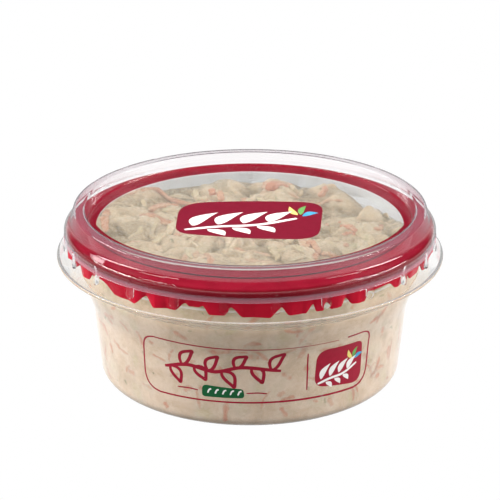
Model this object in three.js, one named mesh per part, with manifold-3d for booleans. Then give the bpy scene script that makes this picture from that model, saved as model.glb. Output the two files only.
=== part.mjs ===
// A shut tub of creamy coleslaw: a clear round tub with a flared grip collar, the salad inside it,
// a printed sealing film folded down over the rim, and a clear push-on lid with a raised stacking ring.
// Millimetres, +Z up. The origin is the centre of the flat base, and +Z is the tub's own axis.

import * as THREE from 'three';
import { mergeVertices } from 'three/addons/utils/BufferGeometryUtils.js';
import Module from 'manifold-3d';

const wasm = await Module();
wasm.setup();

// ---------------------------------------------------------------- driving dimensions

const ROUND_STEPS = 72;          // facets round the clear parts
const WALL = 0.7;                // thickness of the moulded tub wall

const BASE_RADIUS = 41.5;        // flat that the tub stands on
const FOOT_RADIUS = 45.0;        // wall at the top of the rounded foot
const FOOT_HEIGHT = 3.5;
const WAIST_RADIUS = 46.7;       // where the drafted wall starts to flare
const WAIST_HEIGHT = 21.0;
const NECK_RADIUS = 49.6;        // top of the flare, where the collar leaves the wall
const NECK_HEIGHT = 32.2;
const COLLAR_RADIUS = 57.2;      // the widest part of the pack
const COLLAR_HEIGHT = 37.9;
const COLLAR_LIP = 0.7;          // height of the collar's upright edge
const RIM_RADIUS = 52.4;         // sealing rim
const RIM_HEIGHT = 45.9;
const RIM_THICKNESS = 0.9;

const FILM = 0.25;               // thickness of the sealing film
const FILM_LIFT = 0.2;           // glue line between rim and film
const FILM_SKIRT_RADIUS = 54.15; // outside of the folded-down skirt
const FILM_FOLD_DROP = 1.4;      // height over which the film bends down
const FRONT_TABS = [             // tabs of the torn edge: start in degrees right of the front, tip height
  [-66.0, 38.8], [-57.0, 41.2], [-49.5, 38.2], [-32.6, 38.5], [-19.6, 40.2], [-13.9, 38.4], [-5.6, 38.0],
  [9.2, 38.3], [18.9, 38.5], [23.2, 38.6], [29.8, 38.8], [38.2, 41.2], [47.6, 39.3], [56.8, 39.2],
];
const TABS_END = 66.0;           // where the front tabs end and the drawn ones behind begin
const TAB_TIP = 38.2;            // lowest tip behind
const TAB_WIDTH = { least: 7, most: 16 };
const GAP_HEIGHT = 40.9;         // height of the edge between two tabs in front
const GAP_BEHIND = 39.0;         // and behind
const TAB_RAMP = 0.24;           // share of a tab's width over which its edge falls
const CREASE = 0.75;             // how far the skirt's facets wander in and out
const CREASE_PITCH = 3.6;        // degrees from crease to crease
const FILM_SEED = 53;

const LID = 0.45;                // thickness of the lid
const PANEL_HEIGHT = 47.5;       // top face of the recessed panel
const PANEL_RADIUS = 47.7;
const RING_HEIGHT = 51.7;        // flat top of the stacking ring, and of the whole pack
const RING_INNER = 48.7;
const RING_OUTER = 51.9;
const SHOULDER_RADIUS = 53.1;    // foot of the ring's outer wall
const SHOULDER_HEIGHT = 47.9;
const LID_RADIUS = 54.9;         // outside of the lid's skirt at its top
const LID_EDGE_RADIUS = 54.8;
const LID_SKIRT_TOP = 45.9;
const LID_SKIRT_EDGE = 42.8;

const LUGS = 24;                 // snap lugs round the lid's skirt
const LUG_WIDTH = 2.8;
const LUG_TOP = 45.9;
const LUG_TIP = 39.6;
const LUG_THICKNESS = 0.8;
const LUG_PROUD = 0.5;           // how far a lug stands out of the skirt

const CLEARANCE = 0.3;           // between the salad and the tub
const HEAP_STEPS = 72;
const HEAP_RINGS = 19;
const HEAP_LEVEL = 40.0;         // level that the clumps rise from
const HEAP_LIMIT = 45.6;         // nothing of the salad is higher
const HEAP_TILT = { x: -0.012, y: 0.012 };
const LUMPS = 90;                // clumps of dressed cabbage on top
const HEAP_FORMS = [             // mounds and hollows left by the filling
  { x: 34, y: 30, width: 13, rise: -2.6 },
  { x: -36, y: 28, width: 13, rise: 2.0 },
  { x: -44, y: 6, width: 11, rise: 1.6 },
  { x: 39, y: 16, width: 7, rise: -1.2 },
  { x: -8, y: 38, width: 9, rise: -1.0 },
  { x: -28, y: 3, width: 7, rise: -1.2 },
  { x: 2, y: -20, width: 18, rise: 1.4 },
  { x: -20, y: -12, width: 5, rise: -1.2 },
];
const LAID_SHREDS = [            // the large shreds on top: middle line, width, thickness, how the tip rises
  { path: [[-38, 26], [-31, 31], [-25, 30], [-13, 28]], width: 2.4, thick: 1.4, rise: 0 },
  { path: [[-13.5, 28.5], [-16, 32], [-17.5, 36]], width: 2.4, thick: 1.6, rise: 2.2 },
  { path: [[-8.8, 27.5], [-10.2, 32], [-11, 36]], width: 2.6, thick: 1.6, rise: 1.2 },
  { path: [[5, 35.5], [9, 38], [13.4, 39]], width: 4.6, thick: 2.6, rise: 0.8 },
  { path: [[12.5, 37], [14.5, 38], [16.5, 38.5]], width: 3.6, thick: 2.4, rise: 1.0 },
  { path: [[-43.2, 15], [-43.6, 7], [-42.8, -1]], width: 3.0, thick: 1.3, rise: 0 },
  { path: [[-31, 18], [-27.5, 21], [-24.4, 25]], width: 2.4, thick: 1.5, rise: 0 },
  { path: [[32.4, 0.4], [29.8, 4], [27.2, 7.4]], width: 2.4, thick: 1.4, rise: 0.6 },
  { path: [[20, -17.5], [18.5, -13], [16.5, -9.5]], width: 2.4, thick: 1.5, rise: 0.5 },
  { path: [[20.5, -17], [24, -16.5], [29, -17.5]], width: 2.6, thick: 1.4, rise: 0 },
  { path: [[-28, -9], [-25, -3], [-21.5, 6]], width: 2.8, thick: 1.7, rise: 0 },
];
const SHREDS = 20;               // smaller strips that lie on the clumps
const SEED = 250;

// ---------------------------------------------------------------- helpers

/** Seeded random numbers from 0 to 1. */
function randomSource(seed) {
  let state = seed >>> 0;
  return () => {
    state = (state + 0x6d2b79f5) >>> 0;
    let mixed = Math.imul(state ^ (state >>> 15), 1 | state);
    mixed = (mixed + Math.imul(mixed ^ (mixed >>> 7), 61 | mixed)) ^ mixed;
    return ((mixed ^ (mixed >>> 14)) >>> 0) / 4294967296;
  };
}

/** Joins equal corners and drops the faces that collapse, as those on the axis do. */
function welded(geometry) {
  const bare = geometry.clone();
  bare.deleteAttribute('normal');
  bare.deleteAttribute('uv');
  const merged = mergeVertices(bare, 1e-4);
  const corners = merged.index.array;
  const kept = [];
  for (let i = 0; i < corners.length; i += 3) {
    const [a, b, c] = corners.slice(i, i + 3);
    if (a !== b && b !== c && c !== a) {
      kept.push(a, b, c);
    }
  }
  merged.setIndex(kept);
  return merged;
}

/** Turns a closed profile of [radius, height] points once round the Z axis. */
function turned(profile, steps = ROUND_STEPS) {
  const points = profile.map(([radius, height]) => new THREE.Vector2(radius, height));
  return welded(new THREE.LatheGeometry(points, steps).rotateX(Math.PI / 2));
}

/** That many even steps once round, in radians. */
function evenAngles(steps) {
  return Array.from({ length: steps }, (_, step) => (step / steps) * 2 * Math.PI);
}

/** Skins a round body whose profile changes with the angle: profileAt(angle) runs axis to axis. */
function turnedBy(profileAt, angles) {
  const positions = [];
  const faces = [];
  const count = profileAt(angles[0]).length;
  for (const angle of angles) {
    for (const [radius, height] of profileAt(angle)) {
      positions.push(radius * Math.cos(angle), radius * Math.sin(angle), height);
    }
  }
  for (let step = 0; step < angles.length; step += 1) {
    const here = step * count;
    const next = ((step + 1) % angles.length) * count;
    for (let i = 0; i < count - 1; i += 1) {
      faces.push(here + i, next + i, next + i + 1);
      faces.push(here + i, next + i + 1, here + i + 1);
    }
  }
  const geometry = new THREE.BufferGeometry();
  geometry.setAttribute('position', new THREE.Float32BufferAttribute(positions, 3));
  geometry.setIndex(faces);
  return welded(geometry);
}

function solidOf(geometry) {
  const merged = welded(geometry);
  const vertProperties = new Float32Array(merged.attributes.position.array);
  const triVerts = new Uint32Array(merged.index.array);
  return new wasm.Manifold(new wasm.Mesh({ numProp: 3, vertProperties, triVerts }));
}

function geometryOf(solid) {
  const { vertProperties, triVerts } = solid.getMesh();
  const geometry = new THREE.BufferGeometry();
  geometry.setAttribute('position', new THREE.BufferAttribute(vertProperties, 3));
  geometry.setIndex(new THREE.BufferAttribute(triVerts, 1));
  return geometry;
}

function namedMesh(name, geometry, material) {
  const mesh = new THREE.Mesh(geometry, material);
  mesh.name = name;
  return mesh;
}

// ---------------------------------------------------------------- tub

/** Radius of the tub's outside at a height: round foot, drafted wall, flare, and the neck up to the rim. */
function wallRadius(height) {
  if (height < FOOT_HEIGHT) {
    const drop = (FOOT_HEIGHT - height) / FOOT_HEIGHT;
    return BASE_RADIUS + (FOOT_RADIUS - BASE_RADIUS) * Math.sqrt(Math.max(0, 1 - drop * drop));
  }
  if (height < WAIST_HEIGHT) {
    const rise = (height - FOOT_HEIGHT) / (WAIST_HEIGHT - FOOT_HEIGHT);
    return THREE.MathUtils.lerp(FOOT_RADIUS, WAIST_RADIUS, rise);
  }
  if (height < NECK_HEIGHT) {
    const rise = (height - WAIST_HEIGHT) / (NECK_HEIGHT - WAIST_HEIGHT);
    return THREE.MathUtils.lerp(WAIST_RADIUS, NECK_RADIUS, 0.35 * rise + 0.65 * rise * rise * (3 - 2 * rise));
  }
  return NECK_RADIUS + 0.02 * (height - NECK_HEIGHT);
}

/** Heights at which the wall's profile has a point, from the base up. */
function wallHeights() {
  const foot = [0.25, 0.6, 0.86, 1].map((turn) => FOOT_HEIGHT * (1 - Math.cos((turn * Math.PI) / 2)));
  const flare = [0.3, 0.5, 0.7, 1].map((rise) => THREE.MathUtils.lerp(WAIST_HEIGHT, NECK_HEIGHT, rise));
  return [...foot, WAIST_HEIGHT, ...flare];
}

function tubGeometry() {
  const outside = wallHeights().map((height) => [wallRadius(height), height]);
  const inside = outside.map(([radius, height]) => [radius - WALL, Math.max(height, WALL + height * 0.8)]);
  const collarFoot = NECK_HEIGHT + WALL * 1.4;
  const rimFoot = RIM_HEIGHT - RIM_THICKNESS;
  const collar = [
    [COLLAR_RADIUS - 0.6, COLLAR_HEIGHT - COLLAR_LIP - 0.3],
    [COLLAR_RADIUS, COLLAR_HEIGHT - COLLAR_LIP],
    [COLLAR_RADIUS, COLLAR_HEIGHT],
    [COLLAR_RADIUS - 0.8, COLLAR_HEIGHT],
    [NECK_RADIUS + 0.3, collarFoot],
  ];
  const rim = [
    [wallRadius(rimFoot), rimFoot],
    [RIM_RADIUS, rimFoot],
    [RIM_RADIUS, RIM_HEIGHT],
    [wallRadius(RIM_HEIGHT) - WALL, RIM_HEIGHT],
  ];
  return turned([[0, 0], [BASE_RADIUS, 0], ...outside, ...collar, ...rim, ...inside.reverse(), [0, WALL]]);
}

// ---------------------------------------------------------------- sealing film

/** All tabs of the torn edge, in degrees right of the front: the given ones, then drawn ones behind. */
function makeTabs(random) {
  const starts = [...FRONT_TABS];
  const last = 360 + FRONT_TABS[0][0];
  const spread = TAB_WIDTH.most - TAB_WIDTH.least;
  for (let place = TABS_END; place < last - 8; place += TAB_WIDTH.least + spread * random()) {
    starts.push([place, TAB_TIP + 1.4 * random() ** 2]);
  }
  return starts.map(([start, tip], i) => {
    const end = i + 1 < starts.length ? starts[i + 1][0] : last;
    return { start, width: end - start, tip, lean: 0.8 * (random() - 0.5) };
  });
}

/** The skirt's creases: where each is, and how far the edge stands out there. */
function makeCreases(tabs, random) {
  const creases = [];
  for (const tab of tabs) {
    const folds = Math.max(2, Math.round(tab.width / CREASE_PITCH));
    for (let fold = 0; fold < folds; fold += 1) {
      const turn = tab.start + (tab.width * (fold + 0.3 * (random() - 0.5))) / folds;
      creases.push({ turn, out: CREASE * (2 * random() - 1.8) });
    }
  }
  return [...creases, { turn: creases[0].turn + 360, out: creases[0].out }];
}

/** Height of the torn edge inside a tab, across from 0 to 1. */
function tabEdge(tab, across) {
  const rise = Math.min(1, Math.min(across, 1 - across) / TAB_RAMP);
  const full = 0.2 * rise + 0.8 * rise * rise * (3 - 2 * rise);
  const fromFront = 180 - Math.abs(tab.start + tab.width * across - 180);
  const behind = THREE.MathUtils.clamp((fromFront - TABS_END) / 30, 0, 1);
  const gap = Math.max(tab.tip, THREE.MathUtils.lerp(GAP_HEIGHT, GAP_BEHIND, behind));
  return THREE.MathUtils.lerp(gap, tab.tip + tab.lean * (across - 0.5), full);
}

/** How far the edge stands out between two creases: the skirt's facets are flat. */
function foldOut(creases, turn) {
  const place = turn < creases[0].turn ? turn + 360 : turn;
  const next = Math.max(1, creases.findIndex((crease) => crease.turn >= place));
  const [before, after] = [creases[next - 1], creases[next]];
  return THREE.MathUtils.mapLinear(place, before.turn, after.turn, before.out, after.out);
}

function filmGeometry() {
  const random = randomSource(FILM_SEED);
  const tabs = makeTabs(random);
  const creases = makeCreases(tabs, random);
  const under = RIM_HEIGHT + FILM_LIFT;
  const top = under + FILM;
  const fold = RIM_RADIUS + FILM_LIFT;
  const outside = FILM_SKIRT_RADIUS;
  const inside = FILM_SKIRT_RADIUS - FILM;
  const bend = [Math.PI / 8, Math.PI / 4, (3 * Math.PI) / 8, Math.PI / 2];
  const bent = (from, to, level) => bend.map((turn) => [
    from + (to - from) * Math.sin(turn),
    level - FILM_FOLD_DROP * (1 - Math.cos(turn)),
  ]);
  const stations = [0, 0.5 * TAB_RAMP, TAB_RAMP, 0.5, 1 - TAB_RAMP, 1 - 0.5 * TAB_RAMP];
  const turns = tabs.flatMap((tab) => stations.map((across) => ({
    turn: tab.start + tab.width * across,
    edge: tabEdge(tab, across),
  })));
  const profiles = new Map(turns.map(({ turn, edge }) => {
    const middle = (edge + under - FILM_FOLD_DROP) / 2;
    const out = foldOut(creases, turn);
    return [THREE.MathUtils.degToRad(turn - 90), [
      [0, under],
      [fold, under],
      ...bent(fold, inside, under),
      [inside + out * 0.4, middle],
      [inside + out, edge],
      [outside + out, edge],
      [outside + out * 0.4, middle],
      ...bent(fold, outside, top).reverse(),
      [fold, top],
      [0, top],
    ]];
  }));
  return turnedBy((angle) => profiles.get(angle), [...profiles.keys()]);
}

// ---------------------------------------------------------------- lid

function lidShell() {
  const under = PANEL_HEIGHT - LID;
  const ringUnder = RING_HEIGHT - LID;
  return turned([
    [0, under],
    [PANEL_RADIUS + LID * 0.5, under],
    [RING_INNER + LID * 0.6, ringUnder - 0.3],
    [RING_INNER + LID * 0.9, ringUnder],
    [RING_OUTER - LID * 0.9, ringUnder],
    [RING_OUTER - LID * 0.6, ringUnder - 0.3],
    [SHOULDER_RADIUS - LID, SHOULDER_HEIGHT - LID],
    [LID_RADIUS - LID - 0.6, LID_SKIRT_TOP + 0.35],
    [LID_RADIUS - LID, LID_SKIRT_TOP - 0.2],
    [LID_EDGE_RADIUS - LID, LID_SKIRT_EDGE],
    [LID_EDGE_RADIUS, LID_SKIRT_EDGE],
    [LID_RADIUS, LID_SKIRT_TOP],
    [LID_RADIUS - 0.5, LID_SKIRT_TOP + 0.75],
    [SHOULDER_RADIUS, SHOULDER_HEIGHT],
    [RING_OUTER + 0.15, RING_HEIGHT - 0.6],
    [RING_OUTER - 0.2, RING_HEIGHT],
    [RING_INNER + 0.2, RING_HEIGHT],
    [RING_INNER - 0.15, RING_HEIGHT - 0.6],
    [PANEL_RADIUS, PANEL_HEIGHT],
    [0, PANEL_HEIGHT],
  ]);
}

/** One snap lug: a tongue with a round tip, hanging in the skirt and below its edge. */
function lugGeometry() {
  const half = LUG_WIDTH / 2;
  const outline = new THREE.Shape();
  outline.moveTo(-half, LUG_TOP);
  outline.lineTo(-half, LUG_TIP + half);
  outline.absarc(0, LUG_TIP + half, half, Math.PI, 2 * Math.PI, false);
  outline.lineTo(half, LUG_TOP);
  outline.closePath();
  const options = { depth: LUG_THICKNESS, bevelEnabled: false, curveSegments: 3 };
  const tongue = new THREE.ExtrudeGeometry(outline, options).rotateX(Math.PI / 2);
  return tongue.translate(0, LUG_THICKNESS - LID_EDGE_RADIUS - LUG_PROUD, 0);
}

function lidGeometry() {
  let solid = solidOf(lidShell());
  const lug = lugGeometry();
  for (let i = 0; i < LUGS; i += 1) {
    const place = new THREE.Matrix4().makeRotationZ(((i + 0.5) / LUGS) * 2 * Math.PI);
    solid = solid.add(solidOf(lug.clone().applyMatrix4(place)));
  }
  return geometryOf(solid);
}

// ---------------------------------------------------------------- coleslaw

/** The clumps on top of the salad: where each is, how wide and how high. */
function makeLumps(random) {
  const lumps = [];
  for (let i = 0; i < LUMPS; i += 1) {
    const angle = random() * 2 * Math.PI;
    const reach = 49 * Math.sqrt(random());
    lumps.push({
      x: reach * Math.cos(angle),
      y: reach * Math.sin(angle),
      width: 4 + 5 * random(),
      rise: 1.2 + 2.6 * random(),
    });
  }
  return lumps;
}

/** Height of the salad's top at a place: clumps that meet in creases, on mounds and hollows. */
function heapHeight(x, y, lumps) {
  const bentX = x + 1.3 * Math.sin(0.31 * y + 0.7) + 0.7 * Math.sin(0.73 * y + 0.2 * x);
  const bentY = y + 1.2 * Math.sin(0.37 * x + 2.1) + 0.7 * Math.sin(0.67 * x - 0.3 * y);
  const caps = lumps.map((lump) => {
    const far = Math.hypot(bentX - lump.x, bentY - lump.y) / lump.width;
    return lump.rise * (1 - far * far);
  });
  const forms = HEAP_FORMS.reduce((sum, form) => {
    const far = Math.hypot(x - form.x, y - form.y) / form.width;
    return sum + form.rise * Math.exp(-far * far);
  }, 0);
  const height = HEAP_LEVEL + HEAP_TILT.x * x + HEAP_TILT.y * y + Math.max(0, ...caps) + forms;
  return Math.min(height, HEAP_LIMIT - 0.6);
}

function heapCore(lumps) {
  const gap = WALL + CLEARANCE;
  const bottom = WALL + CLEARANCE;
  const sides = [2.2, FOOT_HEIGHT, WAIST_HEIGHT, 25, 29, NECK_HEIGHT];
  const profileAt = (angle) => {
    const brim = NECK_RADIUS - gap;
    const wall = sides.map((height) => [wallRadius(height) - gap, Math.max(height, bottom + 0.8)]);
    const top = [];
    for (let ring = HEAP_RINGS; ring >= 0; ring -= 1) {
      const reach = (brim * ring) / HEAP_RINGS;
      top.push([reach, heapHeight(reach * Math.cos(angle), reach * Math.sin(angle), lumps)]);
    }
    return [[0, bottom], [BASE_RADIUS - gap, bottom], ...wall, ...top];
  };
  return turnedBy(profileAt, evenAngles(HEAP_STEPS));
}

/** A shred: a bent strip along a line of [x, y] points that follows the clumps; its far end may rise. */
function shredGeometry({ path, width, thick, rise }, lumps) {
  const points = path.map(([x, y], i) => {
    const lift = rise * (i / (path.length - 1)) ** 2;
    const height = heapHeight(x, y, lumps) + 0.2 * thick + lift;
    return new THREE.Vector3(x, y, Math.min(height, HEAP_LIMIT - thick / 2));
  });
  const section = new THREE.Shape([
    new THREE.Vector2(-thick / 2, -width / 2),
    new THREE.Vector2(thick / 2, -width / 2),
    new THREE.Vector2(thick / 2, width / 2),
    new THREE.Vector2(-thick / 2, width / 2),
  ]);
  const extrudePath = new THREE.CatmullRomCurve3(points);
  return new THREE.ExtrudeGeometry(section, { steps: 6, bevelEnabled: false, extrudePath });
}

/** A small strip at a drawn place. */
function drawnShred(random) {
  const length = 6 + 10 * random();
  const reach = (NECK_RADIUS - 4 - length / 2) * Math.sqrt(random());
  const around = random() * 2 * Math.PI;
  const heading = random() * Math.PI;
  const bend = (random() - 0.5) * 5;
  const path = [0, 0.25, 0.5, 0.75, 1].map((t) => {
    const along = (t - 0.5) * length;
    const side = bend * (1 - (2 * t - 1) ** 2);
    return [
      reach * Math.cos(around) + along * Math.cos(heading) - side * Math.sin(heading),
      reach * Math.sin(around) + along * Math.sin(heading) + side * Math.cos(heading),
    ];
  });
  return { path, width: 1.6 + 1.8 * random(), thick: 1.2, rise: 0 };
}

/** The outermost shell of a solid: fills hollows that shreds close over, and drops loose scraps. */
function outerShell(solid) {
  return solid.decompose().reduce((largest, shell) => (shell.volume() > largest.volume() ? shell : largest));
}

function coleslawGeometry() {
  const random = randomSource(SEED);
  const lumps = makeLumps(random);
  const shreds = [...LAID_SHREDS, ...Array.from({ length: SHREDS }, () => drawnShred(random))];
  let solid = solidOf(heapCore(lumps));
  for (const shred of shreds) {
    solid = solid.add(solidOf(shredGeometry(shred, lumps)));
  }
  return geometryOf(outerShell(solid));
}

// ---------------------------------------------------------------- scene graph

const clearTub = new THREE.MeshStandardMaterial({
  color: 0xf2f4f3, roughness: 0.08, metalness: 0, transparent: true, opacity: 0.3,
});
const clearLid = new THREE.MeshStandardMaterial({
  color: 0xf4f4f6, roughness: 0.06, metalness: 0, transparent: true, opacity: 0.3,
});
const printedFilm = new THREE.MeshStandardMaterial({ color: 0xa2223a, roughness: 0.3, metalness: 0 });
const salad = new THREE.MeshStandardMaterial({ color: 0xdac9ae, roughness: 0.45, metalness: 0 });

const pack = new THREE.Group();
pack.add(namedMesh('tub', tubGeometry(), clearTub));
pack.add(namedMesh('coleslaw', coleslawGeometry(), salad));
pack.add(namedMesh('seal_film', filmGeometry(), printedFilm));
pack.add(namedMesh('lid', lidGeometry(), clearLid));

export default pack;
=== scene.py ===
"""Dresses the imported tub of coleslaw: clear mouldings, printed film, salad, studio and camera.

Sizes are millimetres until a mesh is made, and metres from there on. The tub stands on z = 0, its
axis is Z, and the printed side faces -Y.
"""

import logging
import math
from dataclasses import dataclass, field
from enum import Enum
from typing import Callable, Sequence

import bpy
import numpy as np
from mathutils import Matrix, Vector, noise


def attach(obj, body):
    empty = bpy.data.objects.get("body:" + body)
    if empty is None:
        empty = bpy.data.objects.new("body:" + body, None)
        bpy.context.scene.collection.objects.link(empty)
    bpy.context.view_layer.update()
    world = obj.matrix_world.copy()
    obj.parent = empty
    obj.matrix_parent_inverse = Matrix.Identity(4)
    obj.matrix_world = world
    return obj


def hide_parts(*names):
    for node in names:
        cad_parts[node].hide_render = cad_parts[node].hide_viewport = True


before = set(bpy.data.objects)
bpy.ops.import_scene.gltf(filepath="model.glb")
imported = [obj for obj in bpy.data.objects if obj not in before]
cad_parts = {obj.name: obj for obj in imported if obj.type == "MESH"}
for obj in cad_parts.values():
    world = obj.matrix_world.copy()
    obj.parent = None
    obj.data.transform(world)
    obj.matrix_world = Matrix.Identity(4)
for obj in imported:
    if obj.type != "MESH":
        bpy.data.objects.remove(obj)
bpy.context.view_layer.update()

MM = 0.001
BODY = "root"
# Attribute of how far a finish's tint shows; on the salad's core it carries painted crease shade.
SHOWN_AND_SHADE = "shown"
SHARP_ANGLE = math.radians(50)
LOG = logging.getLogger("coleslaw")

Point2 = tuple[float, float]
Point3 = tuple[float, float, float]
Span = tuple[float, ...]
Stops = Sequence[tuple[float, str | float]]
Body = tuple[list[Point3], list[Sequence[int]]]
Place = Callable[[float, float, float], Point3]

BLEND = {"data_type": "RGBA"}
MULTIPLY = {"data_type": "RGBA", "blend_type": "MULTIPLY"}
PAST = {"operation": "GREATER_THAN"}


# ------------------------------------------------------------------ shader nodes


def linear(hex_colour: str) -> tuple[float, float, float, float]:
    """Turns an sRGB hex colour into a linear one.

    Args:
        hex_colour: Six hex digits with a leading #.

    Returns:
        Red, green, blue and an alpha of 1, for a shader socket.
    """
    parts = [int(hex_colour[i : i + 2], 16) / 255 for i in (1, 3, 5)]
    red, green, blue = [p / 12.92 if p <= 0.04045 else ((p + 0.055) / 1.055) ** 2.4 for p in parts]
    return red, green, blue, 1.0


def add_node(tree: bpy.types.NodeTree, kind: str, settings: dict | None = None, **sockets) -> bpy.types.Node:
    """Adds one node, sets it and links it.

    Args:
        tree: The node tree that gets the node.
        kind: The node's type name without its Node prefix, such as "BsdfPrincipled".
        settings: Properties of the node itself.
        **sockets: Input name, with _ for a blank, or i and a number for an input's place. The value
            is a number, a colour, an output socket to link, or a node whose first output is linked.

    Returns:
        The new node.
    """
    node = tree.nodes.new("ShaderNode" + kind)
    for name, value in (settings or {}).items():
        setattr(node, name, value)
    for name, value in sockets.items():
        by_place = name[0] == "i" and name[1:].isdigit()
        target = node.inputs[int(name[1:]) if by_place else name.replace("_", " ")]
        if isinstance(value, bpy.types.Node):
            value = value.outputs[0]
        if isinstance(value, bpy.types.NodeSocket):
            tree.links.new(value, target)
        else:
            target.default_value = value
    return node


def new_material(name: str) -> tuple[bpy.types.Material, bpy.types.NodeTree]:
    """Makes an empty node material.

    Args:
        name: The material's name.

    Returns:
        The material and its bare node tree.
    """
    material = bpy.data.materials.new(name)
    material.use_nodes = True
    material.node_tree.nodes.clear()
    return material, material.node_tree


def colour_stops(node: bpy.types.Node, stops: Stops) -> bpy.types.Node:
    """Sets a colour ramp's stops.

    Args:
        node: The ramp node.
        stops: Place from 0 to 1 of each stop, in order, and its hex colour or plain share.

    Returns:
        The same node.
    """
    elements = node.color_ramp.elements
    while len(elements) < len(stops):
        elements.new(0.5)
    for element, (place, value) in zip(elements, stops):
        element.position = place
        element.color = linear(value) if isinstance(value, str) else (value, value, value, 1.0)
    return node


def up_the_pack(tree: bpy.types.NodeTree, stops: Stops) -> bpy.types.Node:
    """Adds a ramp that changes with the height above the table.

    Args:
        tree: The node tree that gets it.
        stops: Height in millimetres of each stop, lowest first, and its hex colour or plain share.

    Returns:
        The ramp node.
    """
    low, high = stops[0][0], stops[-1][0]
    height = add_node(tree, "SeparateXYZ", Vector=add_node(tree, "TexCoord").outputs["Object"]).outputs["Z"]
    share = add_node(tree, "MapRange", Value=height, i1=low * MM, i2=high * MM)
    shares = [((place - low) / (high - low), value) for place, value in stops]
    return colour_stops(add_node(tree, "ValToRGB", i0=share), shares)


# ------------------------------------------------------------------ finishes


@dataclass(frozen=True)
class ClearMoulding:
    """Clear polypropylene or PET, moulded in a polished tool.

    Polish gives sharp white streaks from the lamps, and the wall's slight waviness breaks them up.
    It is milky by height and veils what is behind it: faint haze in the sheet, and bands of painted
    sheen and highlight where light would glance off it. The index is set below the material's own, so
    that the edges of a thin wall stay light. Lamps and stray light pass through it, so that what is
    inside is lit as in the open.
    """

    name: str
    roughness: float = 0.02
    ior: float = 1.49
    wave_mm: float = 9.0
    wave_depth: float = 0.025
    haze_and_sheen: Stops = ((0.0, 0.0), (1.0, 0.0))
    shade: str = "#F2F3F3"
    milk_and_sheen: str = "#F4F4F4"
    wave_rise_mm: float = 0.3

    def build(self) -> bpy.types.Material:
        """Makes the material.

        Returns:
            Glass for the eye, and a clear pane for lamps and stray light.
        """
        material, tree = new_material(self.name)
        place = add_node(tree, "TexCoord").outputs["Object"]
        waves = add_node(tree, "TexNoise", Vector=place, Scale=1 / (self.wave_mm * MM), Detail=1.5)
        bump = add_node(
            tree, "Bump", Strength=self.wave_depth, Distance=self.wave_rise_mm * MM, Height=waves,
        )
        clear = add_node(
            tree, "BsdfPrincipled", Base_Color=(1, 1, 1, 1), Roughness=self.roughness, IOR=self.ior,
            Transmission_Weight=1.0, Normal=bump,
        )
        milk_and_sheen = add_node(tree, "BsdfDiffuse", Color=linear(self.milk_and_sheen))
        # Milk mixed in by height: faint haze, and in bands painted sheen where light would glance off.
        hazy_with_sheen = add_node(tree, "MixShader", i0=up_the_pack(tree, self.haze_and_sheen), i1=clear, i2=milk_and_sheen)
        pane = add_node(tree, "BsdfTransparent", Color=linear(self.shade))
        rays = add_node(tree, "LightPath")
        lit = add_node(tree, "MixShader", i0=rays.outputs["Is Shadow Ray"], i1=hazy_with_sheen, i2=pane)
        mixed = add_node(tree, "MixShader", i0=rays.outputs["Is Diffuse Ray"], i1=lit, i2=pane)
        add_node(tree, "OutputMaterial", Surface=mixed)
        return material


@dataclass(frozen=True)
class PrintedFilm:
    """Gravure ink on the underside of a glossy sealing film.

    Seen through the film the ink is even. Its colour goes by height, and for the red film this holds painted
    light and shade: brighter where the film hangs free, and darker, as painted shade, where it is pressed
    between the rim and the lid.
    """

    name: str
    # The ink's colour by height; for the red film it holds painted light and shade.
    ink: Stops
    mottle: str = "#EBE4E6"
    roughness: float = 0.2
    gloss: float = 0.08
    ior: float = 1.5
    mottle_mm: float = 6.0
    crinkle_mm: float = 2.6
    crinkle_depth: float = 0.15
    crinkle_rise_mm: float = 0.2

    def build(self) -> bpy.types.Material:
        """Makes the material.

        Returns:
            A glossy ink with faint mottle and fine crinkles.
        """
        material, tree = new_material(self.name)
        place = add_node(tree, "TexCoord").outputs["Object"]
        patches = add_node(tree, "TexNoise", Vector=place, Scale=1 / (self.mottle_mm * MM), Detail=3.0)
        thin = colour_stops(add_node(tree, "ValToRGB", i0=patches), [(0.35, self.mottle), (0.65, "#FFFFFF")])
        ink = add_node(tree, "Mix", MULTIPLY, i0=1.0, i6=up_the_pack(tree, self.ink), i7=thin).outputs[2]
        creases = add_node(tree, "TexNoise", Vector=place, Scale=1 / (self.crinkle_mm * MM), Detail=2.0)
        bump = add_node(
            tree, "Bump", Strength=self.crinkle_depth, Distance=self.crinkle_rise_mm * MM, Height=creases,
        )
        surface = add_node(
            tree, "BsdfPrincipled", Base_Color=ink, Roughness=self.roughness, IOR=self.ior,
            Specular_IOR_Level=self.gloss, Normal=bump,
        )
        add_node(tree, "OutputMaterial", Surface=surface)
        return material


@dataclass(frozen=True)
class ScreenInk:
    """Opaque ink printed on the outside of a clear wall: flat colour, a little less glossy than the wall."""

    name: str
    colour: str
    worn: str
    roughness: float = 0.35
    ior: float = 1.5
    gloss: float = 0.2
    lay_mm: float = 1.5

    def build(self) -> bpy.types.Material:
        """Makes the material.

        Returns:
            Ink whose colour varies a little with the thickness laid down.
        """
        material, tree = new_material(self.name)
        place = add_node(tree, "TexCoord").outputs["Object"]
        lay = add_node(tree, "TexNoise", Vector=place, Scale=1 / (self.lay_mm * MM), Detail=4.0)
        colour = colour_stops(add_node(tree, "ValToRGB", i0=lay), [(0.3, self.worn), (0.6, self.colour)])
        surface = add_node(
            tree, "BsdfPrincipled", Base_Color=colour, Roughness=self.roughness, IOR=self.ior,
            Specular_IOR_Level=self.gloss,
        )
        add_node(tree, "OutputMaterial", Surface=surface)
        return material


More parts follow.
